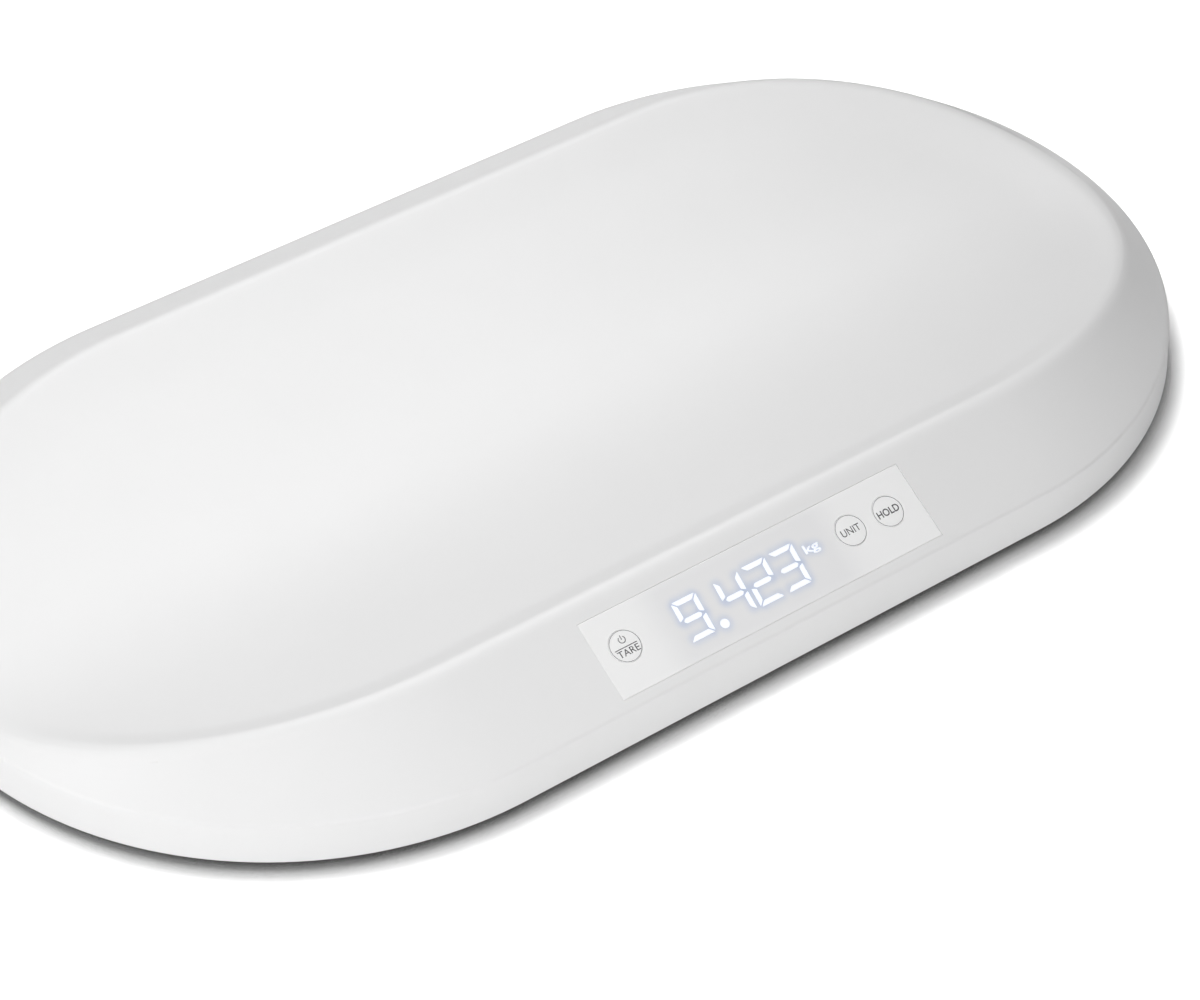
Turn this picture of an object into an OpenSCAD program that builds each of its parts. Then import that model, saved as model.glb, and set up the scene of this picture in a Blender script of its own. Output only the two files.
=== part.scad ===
// Digital baby weighing scale: one moulded trough-shaped tray over four load cells,
// with a lit readout and three push keys in the sloping front flank.
// Millimetres, +Z up, front towards -Y, origin on the table under the middle of the body.

/* [Body] */
// Overall length, left to right
body_length = 546; // [520:1:600]
// Overall width, front to back
body_width = 305.2; // [300:0.2:330]
// Height of the bottom rim above the table
rim_height = 5; // [4:0.1:6]
// Radius that softens the bottom rim
rim_round = 1; // [0.6:0.1:1.4]
// Height of the crease between the upright skirt and the sloping flank
skirt_top = 22; // [21:0.1:23]
// How far the skirt leans inwards on its way up
skirt_lean = 1; // [0.6:0.1:1.4]
// Wall thickness of the skirt
skirt_wall = 3; // [2.4:0.1:3.2]
// Wall thickness of flank and tray, measured straight down
shell_wall = 3.4; // [3.2:0.1:3.8]

/* [Tray] */
// Plan width of the front flank, outline to crest
flank_front = 41; // [40:0.5:44]
// Plan width of the rear flank, outline to crest
flank_rear = 35.2; // [34:0.2:42]
// Plan width of the flank at each end, outline to crest
flank_end = 6.5; // [6:0.1:9]
// How much longer the crest's straight half is than the body's
crest_overrun = 5.8; // [0:0.2:8]
// Height of the trough's lowest line
tray_floor = 22; // [21.6:0.1:24]
// Climb of the trough from its lowest line to the front lip
tray_rise = 19.8; // [18:0.1:21]
// Half width of the trough's rounded bottom
tray_bottom_round = 60; // [45:1:75]
// Step from the tray up to its crest
lip_height = 1.2; // [0.8:0.1:1.6]
// Plan width of that step
lip_width = 6; // [5:0.5:8]

/* [Readout panel] */
// Length of the milky panel
panel_length = 148.5; // [146:0.5:152]
// Height of the panel, measured up the flank
panel_height = 32.3; // [31:0.1:33]
// Thickness of the panel
panel_thickness = 1.6; // [1.2:0.1:1.8]
// Plan distance from the front outline to the panel's middle
panel_inset = 19.3; // [19:0.1:20]
// Width of the ledge that carries the panel
ledge_width = 3.2; // [2.6:0.1:3.2]
// Thickness of the tape that holds the panel
tape_thickness = 0.2; // [0.1:0.05:0.25]
// Height of one digit
digit_height = 16.5; // [15:0.5:17]
// Width of one digit
digit_width = 11; // [10:0.5:11.5]
// Width of one lit stroke
stroke_width = 1.9; // [1.5:0.1:2.1]
// Lean of the digits, in degrees
digit_slant = 3.5; // [0:0.5:6]
// Step from one digit to the next
digit_pitch = 12.75; // [12.4:0.05:13]
// Extra room after the first digit, for the point
point_room = 6.45; // [6:0.05:6.6]

/* [Keys] */
// Diameter of a key cap
key_diameter = 12.7; // [11.5:0.1:13]
// Travel of a key
key_travel = 0.3; // [0.2:0.05:0.4]
// Gap around a key cap
key_gap = 0.15; // [0.1:0.05:0.3]
// Width of the collar that keeps a key under the panel
key_collar = 1.1; // [0.8:0.1:1.2]
// From the panel's left end to the middle of the tare key
tare_from_end = 12; // [11.8:0.1:13]
// From the panel's right end to the middle of the hold key
hold_from_end = 14.15; // [12.5:0.05:15]
// From the middle of the unit key to the middle of the hold key
key_spacing = 18.05; // [17:0.05:19]
// Height of the key row above the panel's middle line
key_row = 1.3; // [0:0.1:2]

/* [Feet and load cells] */
// Distance of each foot's middle from the body's end
foot_from_end = 90; // [85:1:95]
// Distance of each foot's middle from the body's side
foot_from_side = 69.5; // [67:0.5:74]
// Diameter of a foot cup
foot_diameter = 46; // [44:0.5:47]
// Diameter of the rubber pad under a foot
pad_diameter = 40; // [36:0.5:42]
// Thickness of the rubber pad
pad_thickness = 2; // [1.6:0.1:2.4]
// Upward give of a foot at full load
foot_travel = 0.4; // [0.2:0.05:0.5]
// Gap between a foot cup and its well
foot_gap = 2; // [1.6:0.1:2.5]
// Side of the square load cell
cell_side = 34; // [32:0.5:34]
// Thickness of the load cell's steel
cell_thickness = 1.6; // [1.2:0.1:2]

/* [Bottom cover and battery bay] */
// Thickness of the bottom cover
cover_thickness = 2.5; // [2:0.1:3]
// How far the cover is sunk into the rim
cover_sunk = 0.5; // [0.2:0.1:0.8]
// Diameter of one battery cell
battery_diameter = 10.5; // [10:0.1:10.7]
// Length of one battery cell
battery_length = 44.5; // [43:0.5:45]
// Number of battery cells, side by side
battery_count = 4; // [2:2:4]
// Distance from the body's rear to the battery bay's middle
bay_from_rear = 70.5; // [67:0.5:74]
// Thickness of the battery door
door_thickness = 2; // [1.6:0.1:2.2]
// Gap around the battery door
door_gap = 0.4; // [0.3:0.05:0.6]

/* [Hidden] */
// Fragments of round solids
$fn = 64;
// Fits
running_gap = 0.05;
seat_gap = 0.3;
tiny = 0.01;

// Colours
SHELL_WHITE = "#f4f4f4";
PANEL_WHITE = "#fafafa";
LIT_WHITE = "#e6f2ff";
COVER_WHITE = "#e9e9e9";
PRINT_GREY = "#8a8a8a";
BOARD_GREEN = "#2f6b46";
RUBBER_GREY = "#9a9a9a";
STEEL = "#b9bcc0";
DARK = "#2b2b2e";

// Plan of the body: a straight middle and two round ends
end_radius = body_width / 2;
half_straight = body_length / 2 - end_radius;
crest_front = end_radius - flank_front;
crest_rear = end_radius - flank_rear;
crest_straight = half_straight + crest_overrun;
crest_end = body_length / 2 - flank_end - crest_straight;

// Cross-section heights
function trough(y) = sqrt(1 + pow(y / tray_bottom_round, 2)) - 1;
function tray_height(y) = tray_floor + tray_rise * trough(y) / trough(crest_front);
function crest_height(y) = tray_height(y) + lip_height;
flank_slope = atan((crest_height(crest_front) - skirt_top) / (flank_front - skirt_lean));
rear_slope = atan((crest_height(crest_rear) - skirt_top) / (flank_rear - skirt_lean));
function flank_height(y) = let (slope = y < 0 ? flank_slope : rear_slope)
    skirt_top + (end_radius - skirt_lean - abs(y)) * tan(slope);

// Bottom cover levels
cover_bottom = rim_height + cover_sunk;
cover_top = cover_bottom + cover_thickness;
cover_inset = skirt_wall + 0.5;
cover_lip_inset = skirt_wall + skirt_lean + 0.1;
cover_lip_wall = 2;
cover_lip_top = 16;

// Screws
screw_r = 1.5;
screw_head_r = 2.8;
screw_head_height = 1.8;
screw_length = 10;
seat_r = 5;
seat_top = cover_top + 2;
head_seat = cover_bottom + 2;
boss_r = 4;
front_screw_x = 100;
front_screw_inset = 26.5;
end_screw_inset = 43;
end_screw_y = 50;
screw_spots = [for (sx = [-1, 1], sy = [-1, 1]) each [
    [sx * front_screw_x, sy * (end_radius - front_screw_inset)],
    [sx * (body_length / 2 - end_screw_inset), sy * end_screw_y]
]];

// Panel and keys, in the panel's own frame: x along it, y up the flank, z out of it
panel_y = -(end_radius - panel_inset);
panel_fit = 0.2;
panel_seat = panel_thickness + tape_thickness;
collar_thickness = 1;
collar_drop = 0.1;
stem_r = 2;
key_names = ["tare", "unit", "hold"];
key_tare_x = tare_from_end - panel_length / 2;
key_hold_x = panel_length / 2 - hold_from_end;
key_unit_x = key_hold_x - key_spacing;
key_spots = [key_tare_x, key_unit_x, key_hold_x];
display_depth = 9;
board_thickness = 1.6;
switch_side = 6;
switch_height = 3.5;
plunger_r = 1.6;
plunger_length = 3.1;
plunger_top = 4.6 - display_depth;
post_r = 3;
post_x = panel_length / 2 + 4.8;
post_y = 8;
small_screw_r = 1;
small_head_r = 1.9;
small_head_height = 1.5;
display_board_margin = 4;
display_board_height = 26;

// Readout: digits read 9.423, and k g stand for kilogram
digit_values = [9, 4, 2, 3];
digit_drop = 0.8;
point_r = 1.8;
led_length = 68;
led_half_height = 11.5;
led_margin = 1;
led_to_unit_key = 13.55;
led_left = key_unit_x - led_to_unit_key - led_length;
function digit_x(i) = led_left + led_margin + digit_width / 2 + i * digit_pitch
    + (i > 0 ? point_room : 0);
point_x = (digit_x(0) + digit_x(1)) / 2;
point_y = point_r / 2 - digit_drop - digit_height / 2;
led_face = -(panel_thickness + 0.6);
lit_thickness = 0.2;
stroke_gap = 0.35;

// Feet and load cells
foot_x = body_length / 2 - foot_from_end;
foot_y = body_width / 2 - foot_from_side;
front_wire_y = foot_y;
rear_wire_y = foot_y - 19;
corner_names = ["front_left", "front_right", "rear_left", "rear_right"];
corner_signs = [[-1, -1], [1, -1], [-1, 1], [1, 1]];
pad_recess = 0.8;
cup_bottom = pad_thickness - pad_recess;
cup_top = rim_height + 1.2;
post_top = cover_bottom + 3.5;
foot_post_r = 5;
well_r = foot_diameter / 2 + foot_gap;
housing_wall = 2;
cell_lift = foot_travel + 1.2;
cell_hole_spot = cell_side / 2 - 3;
cell_roof = post_top + cell_thickness + cell_lift;
housing_top = cell_roof + 2;
cell_slot = 1.4;
tongue_side = 14;

// Ribs that carry the tray
rib_wall = 2;
cross_ribs = [60, 130, foot_x];
long_rib_y = 38;
long_rib_end = foot_x + 15;
channel_width = 7;
channel_height = 5;
rear_wire_x = 97;

// Main board
board_left = 45;
board_front = foot_y + 15;
board_rear = board_front - 50;
standoff_height = 4;
main_board_z = cover_top + standoff_height;
socket_height = 4;

// Battery bay
bay_y = body_width / 2 - bay_from_rear;
battery_pitch = battery_diameter + 0.6;
bay_wall = 2;
bay_half_length = battery_length / 2 + 3.25;
bay_half_width = battery_pitch * battery_count / 2;
battery_z = cover_bottom + door_thickness + seat_gap + battery_diameter / 2;
bay_roof = battery_z + battery_diameter / 2 + 0.5;
hinge_r = 1.9;
hinge_pin_r = 1;
hinge_pin_length = 2.4;
hinge_space = 4.6;
cheek = 3;
hinge_y = bay_y - bay_half_width - hinge_space + hinge_r + door_gap;
hinge_z = cover_bottom + hinge_r;
bay_front = bay_y - bay_half_width - hinge_space;
bay_rear = bay_y + bay_half_width + door_gap;
barrel_half = bay_half_length - cheek - door_gap;
door_rear = bay_rear - door_gap;

// ---------------------------------------------------------------- moulded skin

arc_steps = 36;
// One entry per point round the outline: which end it turns about, and the turn's cosine, sine
outline_turns = concat(
    [for (i = [0:arc_steps]) let (a = -90 + 180 * i / arc_steps) [1, cos(a), sin(a)]],
    [for (i = [0:arc_steps]) let (a = 90 + 180 * i / arc_steps) [-1, cos(a), sin(a)]]
);

// The body's outline, moved inwards
function body_point(turn, inset) = [
    turn[0] * half_straight + (end_radius - inset) * turn[1],
    (end_radius - inset) * turn[2]
];

// The crest of the tray in plan, moved inwards
function crest_point(turn, inset) = [
    turn[0] * crest_straight + (crest_end - inset) * turn[1],
    ((turn[2] < 0 ? crest_front : crest_rear) - inset) * turn[2]
];

function level_ring(inset, z) = [for (t = outline_turns) let (p = body_point(t, inset)) [p.x, p.y, z]];

// A share of the way up the flank, from the skirt's crease to the crest
function flank_ring(share, drop) = [for (t = outline_turns)
    let (low = body_point(t, skirt_lean), high = crest_point(t, 0), p = low + share * (high - low))
    [p.x, p.y, skirt_top + share * (crest_height(high.y) - skirt_top) - drop]];

// Inside the crest the lip falls to the tray along half a cosine wave
function lip_ring(inset, drop) = [for (t = outline_turns)
    let (p = crest_point(t, inset), fall = (1 + cos(180 * inset / lip_width)) / 2)
    [p.x, p.y, tray_height(p.y) + lip_height * fall - drop]];

// Inside the lip the plan shrinks towards the middle and the height follows the trough
function tray_ring(share, drop) = [for (t = outline_turns)
    let (p = crest_point(t, lip_width) * share)
    [p.x, p.y, tray_height(p.y) - drop]];

tray_shares = [0.88, 0.76, 0.64, 0.52, 0.4, 0.28, 0.16, 0.06];
crease_round = 0.05;
crest_round = 0.3;

outer_rings = concat(
    [level_ring(rim_round, rim_height),
     level_ring(0, rim_height + rim_round),
     level_ring(skirt_lean * 0.9, skirt_top - 1.2),
     flank_ring(crease_round, 0.1),
     flank_ring(0.92, 0),
     lip_ring(0, crest_round)],
    [for (u = [0.3, 0.55, 0.8, 1]) lip_ring(lip_width * u, 0)],
    [for (s = tray_shares) tray_ring(s, 0)]
);
inner_rings = concat(
    [for (i = [len(tray_shares) - 1:-1:0]) tray_ring(tray_shares[i], shell_wall)],
    [lip_ring(lip_width, shell_wall),
     lip_ring(0, shell_wall + crest_round),
     level_ring(skirt_lean + skirt_wall, skirt_top - shell_wall + 0.4),
     level_ring(skirt_wall, rim_height)]
);

module moulded_skin() {
    rings = concat(outer_rings, inner_rings);
    n = len(outline_turns);
    top_ring = len(outer_rings) - 1;
    middle_top = len(rings) * n;
    middle_under = middle_top + 1;
    points = concat([for (r = rings) each r],
        [[0, 0, tray_height(0)], [0, 0, tray_height(0) - shell_wall]]);
    bands = [for (r = [0:len(rings) - 1], i = [0:n - 1])
        if (r != top_ring)
        let (below = r * n, above = ((r + 1) % len(rings)) * n, j = (i + 1) % n)
        each [[below + i, above + i, above + j], [below + i, above + j, below + j]]];
    top_fan = [for (i = [0:n - 1]) [top_ring * n + i, middle_top, top_ring * n + (i + 1) % n]];
    under_fan = [for (i = [0:n - 1])
        [(top_ring + 1) * n + (i + 1) % n, middle_under, (top_ring + 1) * n + i]];
    polyhedron(points, concat(bands, top_fan, under_fan), convexity = 6);
}

// ---------------------------------------------------------------- shared placing

// A frame on the flank's surface at y: x along the body, y uphill in front, z out of the surface
module on_slope(y)
    translate([0, y, flank_height(y)])
        rotate([y < 0 ? flank_slope : -rear_slope, 0, 0])
            children();

module on_flank(x = 0, y = 0, z = 0)
    on_slope(panel_y)
        translate([x, y, z])
            children();

module at_screws()
    for (p = screw_spots)
        translate([p.x, p.y, 0])
            children();

module at_display_posts()
    for (sx = [-1, 1], sy = [-1, 1])
        on_flank(sx * post_x, sy * post_y)
            children();

module at_corner(i)
    translate([corner_signs[i][0] * foot_x, corner_signs[i][1] * foot_y, 0])
        children();

module at_corners()
    for (i = [0:3])
        at_corner(i)
            children();

module box(length, width, low, high)
    translate([-length / 2, -width / 2, low])
        cube([length, width, high - low]);

module rod(r, low, high)
    translate([0, 0, low])
        cylinder(r = r, h = high - low);

module stadium(inset) {
    square([2 * half_straight, 2 * (end_radius - inset)], center = true);
    for (side = [-1, 1])
        translate([side * half_straight, 0])
            circle(r = end_radius - inset, $fn = 128);
}

// ---------------------------------------------------------------- top shell

// A boss ends half way through the wall above it, which slopes where the flank is
module boss(p)
    if (abs(p.y) > crest_rear)
        difference() {
            translate([p.x, p.y, 0])
                rod(boss_r, seat_top, flank_height(p.y) + boss_r);
            translate([p.x, 0, 0])
                on_slope(p.y)
                    box(6 * boss_r, 6 * boss_r, -shell_wall / 2, 6 * boss_r);
        }
    else
        translate([p.x, p.y, 0])
            rod(boss_r, seat_top, tray_height(p.y) - shell_wall / 2);

module top_shell() color(SHELL_WHITE)
    difference() {
        union() {
            moulded_skin();
            for (p = screw_spots)
                boss(p);
            at_display_posts()
                rod(post_r, -display_depth, -panel_thickness);
        }
        at_screws()
            rod(screw_r, seat_top - 1, head_seat + screw_length + 1);
        at_display_posts()
            rod(small_screw_r, -display_depth - 1, -shell_wall - 1);
        on_flank()
            box(panel_length + panel_fit, panel_height + panel_fit, -panel_seat, 5);
        on_flank()
            box(panel_length - 2 * ledge_width, panel_height - 2 * ledge_width, -shell_wall - 3, 0);
    }

// ---------------------------------------------------------------- readout panel and keys

module display_panel() color(PANEL_WHITE)
    difference() {
        on_flank()
            box(panel_length, panel_height, -panel_thickness, 0);
        for (x = key_spots)
            on_flank(x, key_row)
                rod(key_diameter / 2 + key_gap, -panel_thickness - 1, 1);
    }

module panel_tape() color(DARK)
    on_flank()
        difference() {
            box(panel_length, panel_height, -panel_seat, -panel_thickness);
            box(panel_length - 2 * ledge_width, panel_height - 2 * ledge_width,
                -panel_seat - 1, 0);
        }

// A cap flush with the panel, a collar under it and a stem down to the switch
module key(i) color(PANEL_WHITE)
    on_flank(key_spots[i], key_row) {
        rod(key_diameter / 2, -panel_thickness - collar_drop - collar_thickness, 0);
        rod(key_diameter / 2 + key_collar, -panel_thickness - collar_drop - collar_thickness,
            -panel_thickness - collar_drop);
        rod(stem_r, plunger_top, -panel_thickness - collar_drop - collar_thickness + tiny);
    }

module plunger(i) color(DARK)
    on_flank(key_spots[i], key_row)
        rod(plunger_r, plunger_top - plunger_length, plunger_top);

module key_switch(i) color(DARK)
    on_flank(key_spots[i], key_row)
        difference() {
            box(switch_side, switch_side, -display_depth, -display_depth + switch_height);
            rod(plunger_r + running_gap, plunger_top - plunger_length - key_travel - 0.1, 0);
        }

// ---------------------------------------------------------------- readout

module led_module() color(DARK)
    on_flank(led_left + led_length / 2)
        box(led_length, 2 * led_half_height, -display_depth, led_face);

// One lit stroke: a bar with pointed ends, leaned over with the digit
function stroke(middle, along, length) = let (
        half = length / 2 - stroke_gap,
        w = stroke_width / 2,
        across = [-along.y, along.x],
        corners = [half * along, (half - w) * along + w * across, (w - half) * along + w * across,
                   -half * along, (w - half) * along - w * across, (half - w) * along - w * across])
    [for (c = corners) let (p = middle + c) [p.x + p.y * tan(digit_slant), p.y]];

stroke_x = (digit_width - stroke_width) / 2;
stroke_y = (digit_height - stroke_width) / 2;
// The seven strokes, each with its middle, direction and length: top, upper right, lower right,
// bottom, lower left, upper left, middle
strokes = [
    [[0, stroke_y], [1, 0], 2 * stroke_x],
    [[stroke_x, stroke_y / 2], [0, 1], stroke_y],
    [[stroke_x, -stroke_y / 2], [0, 1], stroke_y],
    [[0, -stroke_y], [1, 0], 2 * stroke_x],
    [[-stroke_x, -stroke_y / 2], [0, 1], stroke_y],
    [[-stroke_x, stroke_y / 2], [0, 1], stroke_y],
    [[0, 0], [1, 0], 2 * stroke_x]
];
// Which strokes are lit in each digit from 0 to 9
lit = [[0, 1, 2, 3, 4, 5], [1, 2], [0, 1, 3, 4, 6], [0, 1, 2, 3, 6], [1, 2, 5, 6],
       [0, 2, 3, 5, 6], [0, 2, 3, 4, 5, 6], [0, 1, 2], [0, 1, 2, 3, 4, 5, 6],
       [0, 1, 2, 3, 5, 6]];

module led_segments() color(LIT_WHITE) {
    for (d = [0:len(digit_values) - 1], s = lit[digit_values[d]])
        on_flank(digit_x(d), -digit_drop, led_face)
            linear_extrude(lit_thickness)
                polygon(stroke(strokes[s][0], strokes[s][1], strokes[s][2]));
    on_flank(point_x, point_y, led_face)
        cylinder(r = point_r, h = lit_thickness);
}

module display_board() color(BOARD_GREEN)
    difference() {
        on_flank()
            box(2 * (post_x + display_board_margin), display_board_height,
                -display_depth - board_thickness, -display_depth);
        at_display_posts()
            rod(small_screw_r + 0.2, -display_depth - board_thickness - 1, 0);
    }

module small_screw(seat, length) {
    rod(small_head_r, seat - small_head_height, seat);
    rod(small_screw_r, seat - tiny, seat + length);
}

module display_screws() color(STEEL)
    at_display_posts()
        small_screw(-display_depth - board_thickness, 5.5);

// ---------------------------------------------------------------- main board and ribbon

main_board_middle = -(board_front + board_rear) / 2;
board_screw_x = board_left - 4;
board_screw_y = (board_front - board_rear) / 2 - 4;
ribbon_width = 12;
ribbon_thickness = 0.8;
ribbon_socket_width = 5;
ribbon_socket_height = 3;
ribbon_socket_y = -board_front + 6;

module at_board_screws()
    for (sx = [-1, 1], sy = [-1, 1])
        translate([sx * board_screw_x, main_board_middle + sy * board_screw_y, 0])
            children();

module main_board() color(BOARD_GREEN)
    difference() {
        translate([0, main_board_middle, 0])
            box(2 * board_left, board_front - board_rear, main_board_z,
                main_board_z + board_thickness);
        at_board_screws()
            rod(small_screw_r + 0.2, main_board_z - 1, main_board_z + board_thickness + 1);
    }

module main_board_screws() color(STEEL)
    at_board_screws()
        translate([0, 0, 2 * (main_board_z + board_thickness)])
            mirror([0, 0, 1])
                small_screw(main_board_z + board_thickness, 4);

board_parts_z = main_board_z + board_thickness;

chip_side = 12;
chip_height = 1.6;
converter_width = 5;
converter_length = 6;
converter_x = -14;
capacitor_r = 2.5;
capacitor_height = 5;
capacitor_x = 20;
parts_row = 8;

module main_board_chips() color(DARK)
    translate([0, main_board_middle, 0]) {
        box(chip_side, chip_side, board_parts_z, board_parts_z + chip_height);
        translate([converter_x, parts_row, 0])
            box(converter_width, converter_length, board_parts_z, board_parts_z + chip_height);
        for (x = [capacitor_x, capacitor_x + 3 * capacitor_r])
            translate([x, parts_row, 0])
                rod(capacitor_r, board_parts_z, board_parts_z + capacitor_height);
    }

// Where the wires end: one socket for each load cell and one for the battery
wire_socket_depth = 6;
function wire_socket(i) = [
    corner_signs[i][0] * (board_left - wire_socket_depth / 2),
    corner_signs[i][1] < 0 ? -front_wire_y : -rear_wire_y
];
battery_socket = [-22, -board_rear - wire_socket_depth / 2];

module wire_sockets() color(COVER_WHITE) {
    for (i = [0:3])
        translate(wire_socket(i))
            box(wire_socket_depth, 8, board_parts_z, board_parts_z + socket_height);
    translate(battery_socket)
        box(8, wire_socket_depth, board_parts_z, board_parts_z + socket_height);
}

// Points of the ribbon's path, as [y, z]: down from the display board, along, and into its socket
function flank_point(up, out) = [
    panel_y + up * cos(flank_slope) - out * sin(flank_slope),
    flank_height(panel_y) + up * sin(flank_slope) + out * cos(flank_slope)
];
ribbon_start = flank_point(0, -display_depth - board_thickness - ribbon_socket_height);
ribbon_end = [ribbon_socket_y, board_parts_z + ribbon_socket_height];
ribbon_path = [
    ribbon_start,
    flank_point(0, -display_depth - board_thickness - ribbon_socket_height - 4),
    [ribbon_end[0] - 14, ribbon_end[1] - 4],
    [ribbon_end[0] - 6, ribbon_end[1] + 3],
    [ribbon_end[0], ribbon_end[1] + 3],
    ribbon_end
];

// One edge of a strip along a path, mitred at the bends, a signed distance to its left
function left_of(d) = [-d[1], d[0]] / norm(d);
function strip_edge(path, distance) = [for (i = [0:len(path) - 1])
    let (before = left_of(path[max(i, 1)] - path[max(i, 1) - 1]),
         after = left_of(path[min(i, len(path) - 2) + 1] - path[min(i, len(path) - 2)]),
         middle = (before + after) / norm(before + after))
    path[i] + distance / (middle * before) * middle];

module ribbon_cable() color(PRINT_GREY)
    translate([-ribbon_width / 2, 0, 0])
        rotate([90, 0, 90])
            linear_extrude(ribbon_width)
                polygon(concat(strip_edge(ribbon_path, ribbon_thickness / 2),
                    [for (i = [len(ribbon_path) - 1:-1:0])
                        strip_edge(ribbon_path, -ribbon_thickness / 2)[i]]));

module ribbon_sockets() color(COVER_WHITE) {
    on_flank()
        box(ribbon_width + 3, ribbon_socket_width,
            -display_depth - board_thickness - ribbon_socket_height,
            -display_depth - board_thickness);
    translate([0, ribbon_socket_y, 0])
        box(ribbon_width + 3, ribbon_socket_width, board_parts_z, ribbon_end[1]);
}

// ---------------------------------------------------------------- bottom cover

// Half the span of a rib that crosses the tray at x, kept inside the crest
function rib_reach(x) = crest_front * sqrt(1 - pow(max(0, x - crest_straight) / crest_end, 2)) - 9;

function rib_height(y) = tray_height(y) - shell_wall - seat_gap;

module cross_rib(x) {
    reach = rib_reach(x);
    steps = 16;
    translate([x - rib_wall / 2, 0, 0])
        rotate([90, 0, 90])
            linear_extrude(rib_wall)
                polygon(concat([[-reach, cover_top - tiny], [reach, cover_top - tiny]],
                    [for (i = [steps:-1:0]) let (y = reach * (2 * i / steps - 1))
                        [y, rib_height(y)]]));
}

module ribs() {
    for (side = [-1, 1], x = cross_ribs)
        mirror([side < 0 ? 1 : 0, 0, 0])
            cross_rib(x);
    for (sx = [-1, 1], sy = [-1, 1])
        translate([sx * (cross_ribs[0] + long_rib_end) / 2, sy * long_rib_y, 0])
            box(long_rib_end - cross_ribs[0], rib_wall, cover_top - tiny,
                rib_height(long_rib_y - rib_wall / 2));
}

// Notches that let the load cells' wires pass the ribs
module wire_channels()
    for (side = [-1, 1]) {
        for (x = [cross_ribs[0], cross_ribs[1]], y = [-front_wire_y, -rear_wire_y, rear_wire_y])
            translate([side * x, y, 0])
                box(2 * rib_wall, channel_width, cover_top, cover_top + channel_height);
        for (y = [-long_rib_y, long_rib_y])
            translate([side * rear_wire_x, y, 0])
                box(channel_width, 2 * rib_wall, cover_top, cover_top + channel_height);
    }

module bay_block(low, high, grow = 0)
    translate([0, (bay_front + bay_rear) / 2, 0])
        box(2 * (bay_half_length + grow), bay_rear - bay_front + 2 * grow, low, high);

module cheek_block() {
    reach = hinge_y - bay_front;
    top = hinge_z + 2.6;
    translate([0, -reach / 2, 0])
        box(cheek + 2 * tiny, reach, cover_bottom, top);
    translate([0, reach / 2, 0])
        box(cheek + 2 * tiny, reach, hinge_z, top);
    translate([0, 0, hinge_z])
        rotate([0, 90, 0])
            cylinder(r = hinge_r, h = cheek + 2 * tiny, center = true);
}

module hinge_cheeks()
    difference() {
        for (side = [-1, 1])
            translate([side * (bay_half_length - cheek / 2), hinge_y, 0])
                cheek_block();
        translate([0, hinge_y, hinge_z])
            rotate([0, 90, 0])
                cylinder(r = hinge_pin_r + running_gap, h = 3 * bay_half_length, center = true);
    }

module cover_plate() {
    translate([0, 0, cover_bottom])
        linear_extrude(cover_thickness)
            stadium(cover_inset);
    translate([0, 0, cover_top - tiny])
        linear_extrude(cover_lip_top - cover_top)
            difference() {
                stadium(cover_lip_inset);
                stadium(cover_lip_inset + cover_lip_wall);
            }
}

notch_r = 9;

module bottom_cover() color(COVER_WHITE) {
    difference() {
        union() {
            cover_plate();
            ribs();
            at_screws()
                rod(seat_r, cover_top - tiny, seat_top);
            at_corners()
                rod(well_r + housing_wall, cover_top - tiny, housing_top);
            at_board_screws()
                rod(post_r, cover_top - tiny, main_board_z);
            bay_block(cover_top - tiny, bay_roof + bay_wall, bay_wall);
        }
        wire_channels();
        at_screws() {
            rod(screw_head_r + 0.4, cover_bottom - 1, head_seat);
            rod(screw_r + 0.2, cover_bottom, seat_top + 1);
        }
        at_corners() {
            rod(well_r, cover_bottom - 1, cell_roof);
            for (sx = [-1, 1], sy = [-1, 1])
                translate([sx * cell_hole_spot, sy * cell_hole_spot, 0])
                    rod(small_screw_r, cell_roof - 1, housing_top + 1);
        }
        at_board_screws()
            rod(small_screw_r, cover_top + 0.5, main_board_z + 1);
        bay_block(cover_bottom - 1, bay_roof);
        translate([0, bay_rear, 0])
            rod(notch_r, cover_bottom - 1, cover_bottom + 1);
    }
    hinge_cheeks();
}

module cover_screws() color(STEEL)
    at_screws() {
        rod(screw_head_r, head_seat - screw_head_height, head_seat);
        rod(screw_r, head_seat - tiny, head_seat + screw_length);
    }

// ---------------------------------------------------------------- battery bay

catch_half = 7;
catch_height = 2;

module battery_door() color(COVER_WHITE) {
    // the plate, full width behind the hinge cheeks and narrow between them
    door_front = hinge_y + (hinge_y - bay_front) + door_gap;
    translate([0, (door_front + door_rear) / 2, 0])
        box(2 * (bay_half_length - door_gap), door_rear - door_front,
            cover_bottom, cover_bottom + door_thickness);
    translate([0, (hinge_y + door_front) / 2, 0])
        box(2 * barrel_half, door_front - hinge_y + tiny, cover_bottom,
            cover_bottom + door_thickness);
    translate([0, hinge_y, hinge_z])
        rotate([0, 90, 0]) {
            cylinder(r = hinge_r, h = 2 * barrel_half, center = true);
            cylinder(r = hinge_pin_r, h = 2 * (barrel_half + hinge_pin_length), center = true);
        }
    translate([0, door_rear - 0.6, 0])
        box(2 * catch_half, 1.2, cover_bottom + door_thickness - tiny,
            cover_bottom + door_thickness + catch_height);
}

function battery_y(i) = bay_y + (i - (battery_count - 1) / 2) * battery_pitch;

// Neighbouring cells point opposite ways
function battery_way(i) = i % 2 == 0 ? 1 : -1;

plate_thickness = 0.5;
nub_length = 1;
nub_r = 2.7;

module battery_cell(i) color("#7d8a96")
    translate([0, battery_y(i), battery_z])
        rotate([0, 90 * battery_way(i), 0])
            translate([0, 0, bay_half_length - plate_thickness - battery_length]) {
                cylinder(r = battery_diameter / 2, h = battery_length - nub_length);
                cylinder(r = nub_r, h = battery_length);
            }

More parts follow.
